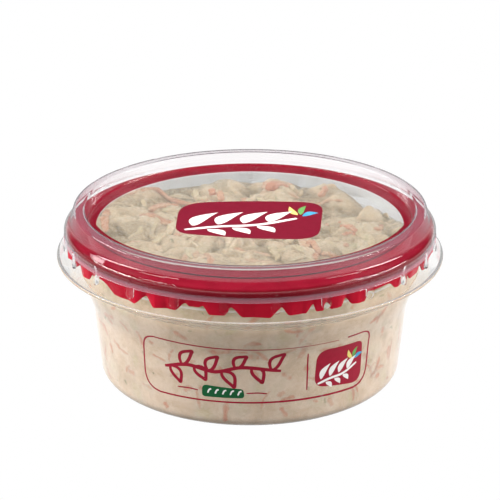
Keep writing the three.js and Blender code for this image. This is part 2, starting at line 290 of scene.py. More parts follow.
@dataclass(frozen=True)
class WetFood:
    """Chopped vegetable under a creamy dressing.

    The dressing is wet, so highlights are soft and small, and light that goes in comes out warm. On the
    shreds the vegetable's own colour shows only where the dressing is thin; on the core the same tint is
    painted shade, darker in its creases. The cast goes by height: faintly pink low down behind the wall,
    and a little darker on the open top.
    """

    name: str
    tint_and_crease_shade: Stops
    dressing: Stops = ((0.30, "#D2BA98"), (0.45, "#DEC6A4"), (0.6, "#E8D3B5"), (0.75, "#DECAA6"))
    cast: Stops = ((34.0, "#FCF6FA"), (40.0, "#F0EEEB"))
    patch_mm: float = 6.0
    coat_mm: float = 3.5
    coat: tuple[float, float] = (0.3, 0.6)
    grain_mm: float = 1.1
    grain_depth: float = 0.2
    grain_rise_mm: float = 0.25
    ior: float = 1.42
    roughness: float = 0.26
    roughness_spread: tuple[float, float] = (-0.1, 0.12)
    glow: float = 0.25
    glow_mm: tuple[float, float, float] = (2.2, 1.5, 1.0)

    def build(self) -> bpy.types.Material:
        """Makes the material.

        Returns:
            A patchy, slightly translucent, wet surface.
        """
        material, tree = new_material(self.name)
        place = add_node(tree, "TexCoord").outputs["Object"]
        patches = add_node(
            tree, "TexNoise", Vector=place, Scale=1 / (self.patch_mm * MM), Detail=4.0, Roughness=0.55,
            Distortion=0.5,
        )
        colour = colour_stops(add_node(tree, "ValToRGB", i0=patches), self.dressing).outputs["Color"]
        coat = add_node(tree, "TexNoise", Vector=place, Scale=1 / (self.coat_mm * MM), Detail=2.0)
        thin = add_node(tree, "MapRange", Value=coat, i1=self.coat[0], i2=self.coat[1])
        shown = add_node(tree, "Attribute", {"attribute_name": SHOWN_AND_SHADE}).outputs["Fac"]
        amount = add_node(tree, "Math", {"operation": "MULTIPLY"}, i0=thin, i1=shown)
        # The tint: a vegetable's own colour on shreds, painted crease shade on the core.
        own = colour_stops(add_node(tree, "ValToRGB", i0=patches), self.tint_and_crease_shade)
        colour = add_node(tree, "Mix", BLEND, i0=amount, i6=colour, i7=own).outputs[2]
        cast = up_the_pack(tree, self.cast)
        colour = add_node(tree, "Mix", MULTIPLY, i0=1.0, i6=colour, i7=cast).outputs[2]
        grain = add_node(tree, "TexNoise", Vector=place, Scale=1 / (self.grain_mm * MM), Detail=3.0)
        bump = add_node(
            tree, "Bump", Strength=self.grain_depth, Distance=self.grain_rise_mm * MM, Height=grain,
        )
        glossiest, dullest = [self.roughness + spread for spread in self.roughness_spread]
        gloss = add_node(tree, "MapRange", Value=grain, i1=0.3, i2=0.7, i3=glossiest, i4=dullest)
        surface = add_node(
            tree, "BsdfPrincipled", Base_Color=colour, Roughness=gloss, IOR=self.ior, Normal=bump,
            Subsurface_Weight=self.glow, Subsurface_Scale=MM, Subsurface_Radius=self.glow_mm,
        )
        add_node(tree, "OutputMaterial", Surface=surface)
        return material


@dataclass(frozen=True)
class LitTable:
    """A product table of white acrylic, lit from below: it looks pure white and throws little light back.

    Where the plastic mirrors it, it glows close to the pack and is dimmer farther off, and a black card
    on it in front of the pack puts a dark patch in the wall and the lid's edge. Places and reaches here
    are metres.
    """

    bounce: float
    card_shine: float = 0.1
    card_place: tuple[float, float, float] = (0.0, -0.13, 0.0)
    card_reach: Point2 = (0.05, 0.13)
    glow_reach: Point2 = (0.10, 0.15)
    glow: float = 1.1
    far_shine: float = 0.45
    name: str = "white_acrylic_table"

    def mirrored(self, tree: bpy.types.NodeTree) -> bpy.types.Node:
        """Works out how bright the table is where the plastic mirrors it.

        Args:
            tree: The node tree that gets the nodes.

        Returns:
            The node that gives the brightness.
        """
        place = add_node(tree, "TexCoord").outputs["Object"]
        off = add_node(tree, "VectorMath", {"operation": "DISTANCE"}, i0=place, i1=self.card_place)
        black, bare = self.card_reach
        card = add_node(
            tree, "MapRange", Value=off.outputs["Value"], i1=black, i2=bare, i3=self.card_shine,
        )
        out = add_node(tree, "VectorMath", {"operation": "LENGTH"}, i0=place)
        near, far = self.glow_reach
        fall = add_node(
            tree, "MapRange", Value=out.outputs["Value"], i1=near, i2=far, i3=self.glow, i4=self.far_shine,
        )
        return add_node(tree, "Math", {"operation": "MULTIPLY"}, i0=card, i1=fall)

    def build(self) -> bpy.types.Material:
        """Makes the material.

        Returns:
            White to the eye, dimmer as a light on the pack.
        """
        material, tree = new_material(self.name)
        rays = add_node(tree, "LightPath")
        glossy = add_node(tree, "Math", PAST, i0=rays.outputs["Glossy Depth"], i1=0.5)
        diffuse = add_node(tree, "Math", PAST, i0=rays.outputs["Diffuse Depth"], i1=0.5)
        white = add_node(tree, "Emission", Strength=1.0)
        shine = add_node(tree, "Emission", Strength=self.mirrored(tree))
        dim = add_node(tree, "Emission", Strength=self.bounce)
        clear = add_node(tree, "MixShader", i0=glossy, i1=white, i2=shine)
        mixed = add_node(tree, "MixShader", i0=diffuse, i1=clear, i2=dim)
        add_node(tree, "OutputMaterial", Surface=mixed)
        material.cycles.emission_sampling = "NONE"
        return material


# How milky the mouldings are by height in millimetres. The tub is faintly milky all over, most in a
# narrow band of its neck just above the collar's lip, which is a painted highlight; the lid's bands at
# the foot of its skirt and on its ring are painted sheen, white where light would glance off them.
TUB_HAZE_AND_LIP_HIGHLIGHT = (
    (0.0, 0.1), (30.0, 0.1), (33.0, 0.05), (37.8, 0.05),
    (37.95, 0.35), (38.55, 0.35), (38.7, 0.05), (50.0, 0.05),
)
LID_HAZE_AND_SHEEN = (
    (42.0, 0.0), (42.7, 0.0), (42.85, 0.10), (44.1, 0.08), (44.5, 0.0),
    (48.0, 0.0), (48.4, 0.02), (51.1, 0.02), (51.4, 0.045), (51.7, 0.045),
)
# The film's red by height, with painted light and shade: brighter where the skirt hangs free, darker
# as painted shade between the rim and the lid.
FILM_INK_WITH_PAINTED_SHADE = (
    (36.0, "#CC1C36"), (42.6, "#C41832"), (43.2, "#A41429"), (43.8, "#840C1E"),
    (45.9, "#840C1E"), (46.15, "#940F28"), (46.5, "#940F28"),
)


class Finish(Enum):
    """The finishes on the pack, each built once."""

    TUB = ClearMoulding("clear_tub_polypropylene", ior=1.34, haze_and_sheen=TUB_HAZE_AND_LIP_HIGHLIGHT)
    # The lid's pink milk makes its painted sheen read mauve over the red film.
    LID = ClearMoulding(
        "clear_lid_pet", ior=1.3, wave_mm=12.0, wave_depth=0.02, haze_and_sheen=LID_HAZE_AND_SHEEN, milk_and_sheen="#F2DAEC",
    )
    WINDOW = ClearMoulding(
        "clear_sealing_film", roughness=0.05, wave_mm=14.0, wave_depth=0.03, ior=1.2,
        haze_and_sheen=((0.0, 0.07), (50.0, 0.07)),
    )
    # Red ink with painted shade under the lid and painted light on the free tabs.
    FILM_RED = PrintedFilm("film_red_ink_painted_shade", FILM_INK_WITH_PAINTED_SHADE)
    FILM_WHITE = PrintedFilm("film_white_backing", ((0.0, "#FAFCFF"), (50.0, "#FAFCFF")), mottle="#FAFAFA")
    INK_RED = ScreenInk("wall_red_ink", "#A01C34", "#961A30")
    LID_RED = ScreenInk("lid_red_ink", "#7C0C28", "#760A24")
    INK_GREEN = ScreenInk("wall_green_ink", "#155A32", "#1C6038")
    INK_WHITE = ScreenInk("wall_white_ink", "#F6F3F0", "#EFEAE6")
    INK_YELLOW = ScreenInk("yellow_ink", "#E8DA86", "#E0CE70")
    INK_LEAF = ScreenInk("leaf_green_ink", "#6FA85C", "#5F9C50")
    INK_BLUE = ScreenInk("blue_ink", "#4FA6CC", "#3F98C2")
    # The dressing's tint is painted shade: a darker brown laid into the core's creases.
    DRESSING = WetFood(
        "creamy_dressing", ((0.3, "#86714C"), (0.5, "#A08A62"), (0.7, "#8E7E56")), coat=(0.1, 0.45),
    )
    CABBAGE = WetFood("coated_cabbage", ((0.35, "#CDB988"), (0.5, "#E0CCA4"), (0.68, "#C8BE8C")))
    CARROT = WetFood(
        "coated_carrot", ((0.36, "#D08864"), (0.5, "#DC9A78"), (0.64, "#DEA884")), glow=0.3, coat=(0.2, 0.5),
    )
    HERB = WetFood("green_leaf_bits", ((0.35, "#8E8A5E"), (0.65, "#A8A074")), glow=0.1)

    def material(self) -> bpy.types.Material:
        """Returns the built material of this finish, made at its first use."""
        return bpy.data.materials.get(self.value.name) or self.value.build()


# ------------------------------------------------------------------ mesh helpers


def make_piece(name: str, points: np.ndarray, faces: list[Sequence[int]], finish: Finish, node: str,
               shown: Sequence[float] | None = None) -> bpy.types.Object:
    """Makes one piece of the pack from points in millimetres.

    Args:
        name: The piece's name.
        points: An array of n by 3.
        faces: Corner numbers of each face.
        finish: What the piece is finished in.
        node: The solid that it stands for.
        shown: How far the tint shows at each point: on shreds the vegetable's own colour, on the core painted
            shade in its creases.

    Returns:
        The new object, riding on the pack.
    """
    mesh = bpy.data.meshes.new(name)
    mesh.from_pydata((np.asarray(points) * MM).tolist(), [], faces)
    mesh.polygons.foreach_set("use_smooth", [True] * len(mesh.polygons))
    mesh.set_sharp_from_angle(angle=SHARP_ANGLE)
    if shown is not None:
        mesh.attributes.new(SHOWN_AND_SHADE, "FLOAT", "POINT").data.foreach_set("value", shown)
    mesh.materials.append(finish.material())
    mesh.update()
    piece = bpy.data.objects.new(name, mesh)
    bpy.context.scene.collection.objects.link(piece)
    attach(piece, BODY)
    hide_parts(node)
    LOG.info("%s: %d points, %d faces", name, len(mesh.vertices), len(mesh.polygons))
    return piece


@dataclass(frozen=True)
class Corner:
    """One corner of a profile or an outline, in millimetres, rounded by fillet."""

    across: float
    up: float
    fillet: float = 0.0


MOST_OF_A_SIDE = 0.48


def rounded(corners: Sequence[Corner], steps: int = 4) -> list[Point2]:
    """Rounds the corners of an open line.

    Args:
        corners: The line's corners in order.
        steps: How many pieces each rounding has.

    Returns:
        The rounded line's points.
    """
    points: list[Point2] = []
    for i, corner in enumerate(corners):
        here = np.array([corner.across, corner.up])
        if corner.fillet <= 0 or i in (0, len(corners) - 1):
            points.append((corner.across, corner.up))
            continue
        before = np.array([corners[i - 1].across, corners[i - 1].up]) - here
        after = np.array([corners[i + 1].across, corners[i + 1].up]) - here
        reach_before, reach_after = np.linalg.norm(before), np.linalg.norm(after)
        cut = min(corner.fillet, MOST_OF_A_SIDE * reach_before, MOST_OF_A_SIDE * reach_after)
        start, end = here + before / reach_before * cut, here + after / reach_after * cut
        for step in range(steps + 1):
            t = step / steps
            point = (1 - t) ** 2 * start + 2 * t * (1 - t) * here + t * t * end
            points.append((float(point[0]), float(point[1])))
    return points


def skin_round(profiles: np.ndarray, angles: np.ndarray) -> tuple[np.ndarray, list[Sequence[int]]]:
    """Skins a closed round body whose profile may change with the angle.

    Args:
        profiles: Radius and height of each profile point at each angle: angles by points by 2. The
            first and last point of a profile lie on the axis.
        angles: The angles, in radians, once round.

    Returns:
        The points and faces of the body, facing out.
    """
    steps, count = profiles.shape[:2]
    inner = profiles[:, 1:-1]
    cosines, sines = np.cos(angles)[:, None], np.sin(angles)[:, None]
    ring = np.stack([inner[..., 0] * cosines, inner[..., 0] * sines, inner[..., 1]], axis=-1)
    low, high = profiles[0, 0, 1], profiles[0, -1, 1]
    points = np.vstack([ring.reshape(-1, 3), [[0, 0, low], [0, 0, high]]])
    width = count - 2
    first, last = len(points) - 2, len(points) - 1
    faces: list[Sequence[int]] = []
    for step in range(steps):
        here, beyond = step * width, ((step + 1) % steps) * width
        faces.append((first, beyond, here))
        faces.append((here + width - 1, beyond + width - 1, last))
        faces.extend((here + i, beyond + i, beyond + i + 1, here + i + 1) for i in range(width - 1))
    return points, faces


def even_angles(steps: int) -> np.ndarray:
    """Returns that many even steps once round, in radians."""
    return np.arange(steps) * (2 * math.pi / steps)


def unit_rows(rows: np.ndarray) -> np.ndarray:
    """Returns directions, one in each row, brought to a length of 1."""
    return rows / np.maximum(np.linalg.norm(rows, axis=1, keepdims=True), 1e-9)


def banded(path: Sequence[Point2], half_widths: Sequence[float], across: int = 1) -> np.ndarray:
    """Spreads a line to a band.

    Args:
        path: Points of the middle line, in a surface's own millimetres.
        half_widths: Half the band's width at each point.
        across: How many facets it has from side to side.

    Returns:
        Surface points, rows by places across by 2.
    """
    line = np.asarray(path, float)
    run = unit_rows(np.gradient(line, axis=0))
    side = np.stack([-run[:, 1], run[:, 0]], axis=1) * np.asarray(half_widths)[:, None]
    return np.stack([line + side * t for t in np.linspace(-1, 1, across + 1)], axis=1)


def filled(outline: Sequence[Point2], across: int, stations: int = 40) -> np.ndarray:
    """Fills an outline that no upright line crosses more than twice.

    Args:
        outline: Its points, once round.
        across: How many facets it has from bottom to top.
        stations: How many places it has from left to right, closest at the ends.

    Returns:
        Surface points, stations by places across by 2.
    """
    line = np.asarray(outline, float)
    line = np.roll(line, -int(line[:, 0].argmin()), axis=0)
    turn = int(line[:, 0].argmax())
    there, back = line[: turn + 1], np.vstack([line[turn:], line[:1]])[::-1]
    x = line[0, 0] + (line[turn, 0] - line[0, 0]) * (1 - np.cos(np.linspace(0, math.pi, stations))) / 2
    edges = np.array([np.interp(x, side[:, 0], side[:, 1]) for side in (there, back)])
    low, high = edges.min(axis=0), edges.max(axis=0) + 0.01
    shares = np.linspace(0, 1, across + 1)
    return np.stack([np.stack([x, low + (high - low) * share], axis=1) for share in shares], axis=1)


def plate(rows: np.ndarray, place: Place, low: float, high: float) -> Body:
    """Makes a thin closed plate that lies on a surface.

    Args:
        rows: Surface points, rows by places across by 2.
        place: Puts a surface point and a lift off the surface into space.
        low: Lift of the plate's underside.
        high: Lift of its top.

    Returns:
        Its points and faces.
    """
    count, columns = rows.shape[:2]
    points = [place(float(x), float(y), lift) for lift in (low, high) for x, y in rows.reshape(-1, 2)]
    layer = count * columns
    faces: list[Sequence[int]] = []
    for i in range(count - 1):
        for j in range(columns - 1):
            a, b = i * columns + j, (i + 1) * columns + j
            faces.append((a, a + 1, b + 1, b))
            faces.append((layer + a, layer + b, layer + b + 1, layer + a + 1))
    edge = [i * columns for i in range(count)] + [(count - 1) * columns + j for j in range(1, columns)]
    edge += [i * columns + columns - 1 for i in range(count - 2, -1, -1)] + list(range(columns - 2, 0, -1))
    for a, b in zip(edge, edge[1:] + edge[:1]):
        faces.append((a, b, layer + b, layer + a))
    return points, faces


def smooth_line(points: Sequence[Point2], steps: int) -> np.ndarray:
    """Draws a smooth line through a few points.

    Args:
        points: The points that it goes through.
        steps: How many stretches it has between two of them.

    Returns:
        The line's points.
    """
    given = np.asarray(points, float)
    padded = np.vstack([2 * given[0] - given[1], given, 2 * given[-1] - given[-2]])
    line = []
    for i in range(len(given) - 1):
        a, b, c, d = padded[i : i + 4]
        slope, bow, twist = c - a, 2 * a - 5 * b + 4 * c - d, 3 * b - a - 3 * c + d
        for step in range(steps):
            t = step / steps
            line.append(0.5 * (2 * b + slope * t + bow * t**2 + twist * t**3))
    line.append(given[-1])
    return np.array(line)


class Batch:
    """Gathers many small bodies into one mesh."""

    def __init__(self) -> None:
        """Starts empty."""
        self.points: list[Point3] = []
        self.faces: list[Sequence[int]] = []
        self.shown: list[float] = []

    def add(self, body: Body, shown: Sequence[float] | float = 1.0) -> None:
        """Adds one body.

        Args:
            body: Its points and faces.
            shown: How far its own colour shows, at each point or everywhere.
        """
        start = len(self.points)
        self.points.extend(body[0])
        self.faces.extend(tuple(start + i for i in face) for face in body[1])
        self.shown.extend([shown] * len(body[0]) if isinstance(shown, float) else shown)


def squared(waves: np.ndarray) -> np.ndarray:
    """Returns cosines or sines pushed outwards, so that the circle they draw is nearly a square."""
    return np.sign(waves) * np.abs(waves) ** 0.7


def sweep(path: np.ndarray, widths: np.ndarray, heights: np.ndarray, sides: int = 8,
          up: Sequence[float] = (0, 0, 1)) -> Body:
    """Sweeps an oval section along a path in space and closes its ends.

    Args:
        path: Points of the middle line, n by 3.
        widths: Half width of the section at each point.
        heights: Half height of the section at each point.
        sides: Corners of the section.
        up: Direction that the section's height leans to.

    Returns:
        Its points and faces.
    """
    run = unit_rows(np.gradient(path, axis=0))
    side = unit_rows(np.cross(run, np.asarray(up, float)))
    top = np.cross(side, run)
    turn = even_angles(sides)
    corners = list(zip(squared(np.cos(turn)), squared(np.sin(turn))))
    points: list[Point3] = []
    for centre, across, rise, half, tall in zip(path, side, top, widths, heights):
        for right, above in corners:
            points.append(tuple(centre + across * half * right + rise * tall * above))
    faces: list[Sequence[int]] = []
    for i in range(len(path) - 1):
        for j in range(sides):
            k = (j + 1) % sides
            faces.append((i * sides + j, (i + 1) * sides + j, (i + 1) * sides + k, i * sides + k))
    faces.append(tuple(range(sides)))
    faces.append(tuple((len(path) - 1) * sides + j for j in reversed(range(sides))))
    return points, faces


class SeededDraws:
    """Seeded numbers from 0 to 1, the same on every run."""

    MASK = 0xFFFFFFFF
    STRIDE = 0x6D2B79F5

    def __init__(self, seed: int) -> None:
        """Starts the row of numbers.

        Args:
            seed: Where the row starts.
        """
        self.state = seed & self.MASK

    def next(self) -> float:
        """Returns the next number."""
        self.state = (self.state + self.STRIDE) & self.MASK
        mixed = ((self.state ^ (self.state >> 15)) * (1 | self.state)) & self.MASK
        mixed = ((mixed + ((mixed ^ (mixed >> 7)) * (61 | mixed) & self.MASK)) & self.MASK) ^ mixed
        return ((mixed ^ (mixed >> 14)) & self.MASK) / (self.MASK + 1)

    def within(self, span: Span) -> float:
        """Draws a number within a span.

        Args:
            span: The least, the reach above it and, where it isn't 1, the power that crowds the draws
                towards the least. A span of one number is that number, and draws nothing.

        Returns:
            The number.
        """
        if len(span) == 1:
            return span[0]
        least, reach, *power = span
        return least + reach * self.next() ** (power[0] if power else 1)

    def in_disc(self, radius: float) -> Point2:
        """Returns a place drawn evenly over a disc of this radius about the axis."""
        angle, reach = self.next() * 2 * math.pi, radius * math.sqrt(self.next())
        return reach * math.cos(angle), reach * math.sin(angle)


# ------------------------------------------------------------------ the tub


@dataclass
class Tub:
    """The moulded tub: rounded foot, drafted wall, flare, grip collar, neck and sealing rim."""

    wall: float = 0.7
    base_radius: float = 41.5
    foot_radius: float = 45.0
    foot_height: float = 3.5
    middle_height: float = 12.0
    waist_radius: float = 46.7
    waist_height: float = 21.0
    neck_radius: float = 49.6
    neck_height: float = 32.2
    collar_radius: float = 57.2
    collar_height: float = 37.9
    collar_lip: float = 0.7
    collar_lean: float = 0.55
    collar_edge: float = 0.85
    rim_radius: float = 52.4
    rim_height: float = 45.9
    rim_thickness: float = 0.9
    edge_fillet: float = 0.3
    steps: int = 288

    def wall_radius(self, height: float) -> float:
        """Gives the outside radius of the wall.

        Args:
            height: Height above the table.

        Returns:
            The radius there.
        """
        if height < self.foot_height:
            drop = (self.foot_height - max(height, 0)) / self.foot_height
            bulge = math.sqrt(max(0, 1 - drop * drop))
            return self.base_radius + (self.foot_radius - self.base_radius) * bulge
        if height < self.waist_height:
            rise = (height - self.foot_height) / (self.waist_height - self.foot_height)
            return self.foot_radius + (self.waist_radius - self.foot_radius) * rise
        if height < self.neck_height:
            rise = (height - self.waist_height) / (self.neck_height - self.waist_height)
            eased = 0.35 * rise + 0.65 * rise * rise * (3 - 2 * rise)
            return self.waist_radius + (self.neck_radius - self.waist_radius) * eased
        return self.neck_radius + 0.02 * (height - self.neck_height)

    def profile(self) -> list[Point2]:
        """Lists the tub's section from the middle of its base, up the outside and down the inside.

        Returns:
            Radius and height of each point.
        """
        foot = [self.foot_height * (1 - math.cos(math.radians(a))) for a in range(10, 91, 10)]
        flare = np.linspace(self.waist_height, self.neck_height, 14).tolist()
        outside = [(self.wall_radius(h), h) for h in foot + [self.middle_height] + flare]
        inside = [(r - self.wall, max(h, self.wall + 0.8 * h)) for r, h in outside]
        rim_foot = self.rim_height - self.rim_thickness
        lip = self.collar_height - self.collar_lip
        fillet = self.edge_fillet
        collar = rounded([
            Corner(*outside[-1]),
            Corner(self.neck_radius + 0.15, self.neck_height + 0.1, 0.2),
            Corner(self.collar_radius - self.collar_lean, lip - 0.35, fillet),
            Corner(self.collar_radius, lip, 0.25),
            Corner(self.collar_radius, self.collar_height, fillet),
            Corner(self.collar_radius - self.collar_edge, self.collar_height, fillet),
            Corner(self.neck_radius + 0.3, self.neck_height + 1.4 * self.wall, 0.5),
            Corner(self.wall_radius(rim_foot), rim_foot, fillet),
            Corner(self.rim_radius, rim_foot, fillet),
            Corner(self.rim_radius, self.rim_height, fillet),
            Corner(self.wall_radius(self.rim_height) - self.wall, self.rim_height, fillet),
            Corner(*inside[-1]),
        ])
        base = [(0.0, 0.0), (self.base_radius - 1.5, 0.0), (self.base_radius, 0.0)]
        return base + outside[:-1] + collar + inside[-2::-1] + [(0.0, self.wall)]

    def inner_radius(self, height: float) -> float:
        """Returns the radius of the wall's inside at a height."""
        return self.wall_radius(height) - self.wall

    def on_wall(self, along: float, height: float, lift: float) -> Point3:
        """Puts a point on the outside of the wall.

        Args:
            along: Millimetres to the right of the front, measured round the waist.
            height: Height above the table.
            lift: Distance off the wall.

        Returns:
            The point in space.
        """
        radius = self.wall_radius(height) + lift
        angle = along / self.waist_radius - math.pi / 2
        return radius * math.cos(angle), radius * math.sin(angle), height

    def build(self) -> None:
        """Builds the tub."""
        profile = np.array(self.profile())
        angles = even_angles(self.steps)
        points, faces = skin_round(np.repeat(profile[None], self.steps, axis=0), angles)
        make_piece("tub_moulding", points, faces, Finish.TUB, "tub")


# ------------------------------------------------------------------ print


def rounded_outline(corners: Sequence[Corner]) -> list[Point2]:
    """Rounds the corners of a closed outline.

    Args:
        corners: Its corners in order.

    Returns:
        The outline's points, once round.
    """
    first, last = corners[0], corners[-1]
    middle = Corner((first.across + last.across) / 2, (first.up + last.up) / 2)
    return rounded([middle, *corners, middle], steps=9)[:-1]


def leaf_outline(foot: Point2, length: float, width: float, turn: float) -> np.ndarray:
    """Draws a pointed leaf with a slight bend.

    Args:
        foot: Where the leaf starts.
        length: Its length.
        width: Its greatest width.
        turn: The way it points, in radians.

    Returns:
        The outline's points, once round.
    """
    t = np.linspace(0, 1, 13)
    along, side = np.array([math.cos(turn), math.sin(turn)]), np.array([-math.sin(turn), math.cos(turn)])
    bend = np.outer(0.12 * length * np.sin(math.pi * t), side)
    middle = np.array(foot) + np.outer(length * t, along) + bend
    half = np.outer(width / 2 * np.sin(math.pi * t**0.8), side)
    return np.vstack([middle + half, (middle - half)[-2:0:-1]])


class InkLayer(Batch):
    """Gathers the marks of one ink, each a hair thicker than the last, so that no two tops coincide."""

    HAIR = 0.0015

    def __init__(self, place: Place, low: float, high: float) -> None:
        """Starts a bare layer.

        Args:
            place: Puts a surface point and a lift off the surface into space.
            low: Lift of the ink's underside.
            high: Lift of its top.
        """
        super().__init__()
        self.place, self.low, self.high = place, low, high

    def mark(self, rows: np.ndarray) -> None:
        """Adds one mark that covers these surface points."""
        self.high += self.HAIR
        self.add(plate(rows, self.place, self.low, self.high))

    def stroke(self, points: Sequence[Point2], width: float, steps: int = 8) -> None:
        """Draws one pen stroke, a little thinner at its two ends.

        Args:
            points: Where it runs.
            width: Its width.
            steps: How many stretches it has between two points.
        """
        line = smooth_line(points, steps)
        t = np.linspace(0, 1, len(line))
        self.mark(banded(line, width / 2 * (1 - 0.3 * np.abs(2 * t - 1) ** 8)))

    def motif(self, centre: Point2, size: Point2, pen: float) -> None:
        """Draws a plain sprig: a bowed stem with leaves above and below it.

        Args:
            centre: Its centre.
            size: Half its length and half its height.
            pen: Width of the stem.
        """
        middle, reach = np.array(centre), np.array(size)
        self.stroke(middle + reach * np.array([(-1.0, -0.62), (-0.4, -0.42), (0.3, -0.3), (1.0, 0.12)]), pen)
        above = [
            ((-0.86 + 0.45 * i, -0.38 + 0.09 * i), 1.0 - 0.06 * i, 0.29, math.radians(64 - 2 * i))
            for i in range(4)
        ]
        below = [((-0.6 + 0.44 * i, -0.6 + 0.1 * i), 0.52, 0.23, math.radians(-52)) for i in range(3)]
        for foot, length, width, turn in above + below:
            outline = middle + reach * leaf_outline(foot, length, width, turn)
            self.mark(filled(outline, across=3, stations=14))


def make_print(name: str, layer: InkLayer, finish: Finish, node: str) -> None:
    """Makes one ink's marks a piece that throws no shadow on the salad behind it.

    Args:
        name: The piece's name.
        layer: The marks.
        finish: The ink.
        node: The solid that carries it.
    """
    piece = make_piece(name, layer.points, layer.faces, finish, node)
    piece.visible_shadow = piece.visible_diffuse = False


@dataclass
class WallPrint:
    """The print on the front of the tub: an open frame, a drawn sprig, a plaque with a motif, and a label."""

    tub: Tub
    frame_left: float = -33.1
    frame_right: float = 37.8
    frame_low: float = 8.7
    frame_high: float = 26.0
    frame_gap: Point2 = (25.6, 28.6)
    line: float = 0.5
    stem: tuple[Point2, ...] = ((-25.4, 17.6), (-18, 19.4), (-10, 18.2), (-2, 20.0), (8.8, 18.6))
    stem_pen: float = 1.15
    stem_leaves: int = 8
    leaf_pen: float = 1.0
    divider: float = 16.5
    divider_span: Point2 = (11.4, 23.2)
    divider_lean: float = 0.2
    divider_pen: float = 0.45
    dashes: tuple[tuple[Point2, ...], ...] = (
        ((-21.6, 11.7), (-18, 11.9), (-15.2, 11.7)), ((-1.0, 11.7), (2.2, 11.8), (4.9, 11.5)),
    )
    dash_pen: float = 0.42
    plaque: tuple[Corner, ...] = (
        Corner(18.9, 12.0, 3.2), Corner(19.3, 23.5, 3.8), Corner(34.9, 23.4, 2.2), Corner(35.6, 9.6, 4.2),
    )
    label: tuple[Corner, ...] = (
        Corner(-14.1, 9.9, 1.1), Corner(-13.9, 13.8, 1.6), Corner(-1.9, 13.0, 0.9), Corner(-1.5, 10.1, 1.2),
    )
    label_strokes: int = 5
    label_left: float = -12.3
    label_pitch: float = 2.2
    label_drop: float = 0.05
    label_stroke: tuple[Point2, ...] = ((0.0, 11.2), (0.5, 12.3), (1.1, 12.6))
    label_pen: float = 0.5
    motif_centre: Point2 = (26.6, 16.0)
    motif_size: Point2 = (6.6, 5.2)
    motif_pen: float = 0.75
    leaves_foot: Point2 = (31.6, 18.0)
    ink_lift: Point2 = (0.02, 0.05)
    over_lift: Point2 = (0.09, 0.11)

    def frame_line(self, red: InkLayer) -> None:
        """Draws the rounded frame, open near its upper right corner.

        Args:
            red: The ink layer that gets it.
        """
        left, right, low, high = self.frame_left, self.frame_right, self.frame_low, self.frame_high
        corners = [
            Corner(self.frame_gap[1], high + 0.1),
            Corner(right - 0.2, high + 0.4, 6.0),
            Corner(right, low - 0.3, 6.0),
            Corner(0.0, low, 20.0),
            Corner(left - 0.2, low - 0.2, 6.5),
            Corner(left + 0.7, high + 0.6, 5.5),
            Corner(0.0, high - 0.1, 20.0),
            Corner(self.frame_gap[0], high - 0.1),
        ]
        line = smooth_line(rounded(corners, steps=7), 4)
        t = np.linspace(0, 1, len(line))
        weight = 1 + 0.3 * np.exp(-(((t - 0.3) / 0.12) ** 2)) - 0.65 * np.clip((t - 0.78) / 0.22, 0, 1)
        red.mark(banded(line, self.line / 2 * weight))

    def drawn_sprig(self, red: InkLayer) -> None:
        """Draws a long sprig of leaves in thick pen line.

        Args:
            red: The ink layer that gets it.
        """
        red.stroke(self.stem, self.stem_pen)
        curve = smooth_line(self.stem, 12)
        for i in range(self.stem_leaves):
            side = 1 if i % 2 else -1
            turn = side * math.radians(58 - 4 * (i % 3))
            outline = leaf_outline(curve[3 + i * 6], 5.6 + 0.6 * math.sin(2.1 * i), 2.9, turn)
            red.stroke(np.vstack([outline, outline[:1]])[::2], self.leaf_pen, steps=4)

    def build(self) -> None:
        """Builds the print, one piece for each ink."""
        on_wall = self.tub.on_wall
        red, green = InkLayer(on_wall, *self.ink_lift), InkLayer(on_wall, *self.ink_lift)
        white = InkLayer(on_wall, *self.over_lift)
        self.frame_line(red)
        self.drawn_sprig(red)
        low, high = self.divider_span
        foot, lean = self.divider, self.divider_lean
        red.stroke([(foot + lean, low), (foot + lean / 2, (low + high) / 2), (foot, high)], self.divider_pen)
        for dash in self.dashes:
            red.stroke(dash, self.dash_pen)
        red.mark(filled(rounded_outline(self.plaque), across=10))
        green.mark(filled(rounded_outline(self.label), across=4))
        white.motif(self.motif_centre, self.motif_size, self.motif_pen)
        for i in range(self.label_strokes):
            left, drop = self.label_left + self.label_pitch * i, self.label_drop * i
            white.stroke([(left + x, y - drop) for x, y in self.label_stroke], self.label_pen, steps=4)
        make_print("wall_print_red", red, Finish.INK_RED, "tub")
        make_print("wall_print_green", green, Finish.INK_GREEN, "tub")
        make_print("wall_print_white", white, Finish.INK_WHITE, "tub")
        small_leaves(on_wall, self.over_lift, self.leaves_foot, (1.0, 1.0), "wall", "tub")


def small_leaves(place: Place, lift: Point2, foot: Point2, size: Point2, name: str, node: str) -> None:
    """Prints three small leaves in the pack's light inks, spread from one foot.

    Args:
        place: Puts a surface point and a lift off the surface into space.
        lift: Lift of the ink's underside and top.
        foot: Where the leaves start.
        size: How far the design is stretched each way.
        name: What the print is on.
        node: The solid that carries it.
    """
    for turn, finish in ((118, Finish.INK_YELLOW), (68, Finish.INK_LEAF), (18, Finish.INK_BLUE)):
        layer = InkLayer(place, *lift)
        start = 0.6 * np.array([math.cos(math.radians(turn)), math.sin(math.radians(turn))])
        outline = np.array(foot) + np.array(size) * leaf_outline(start, 3.4, 1.25, math.radians(turn))
        layer.mark(filled(outline, across=3, stations=14))
        make_print(f"{name}_print_{finish.name.removeprefix('INK_').lower()}", layer, finish, node)


# ------------------------------------------------------------------ sealing film


@dataclass(frozen=True)
class Tab:
    """One tab of the film's torn edge: where it starts, how wide it is, its tip's height and its lean."""

    start: float
    width: float
    tip: float
    lean: float


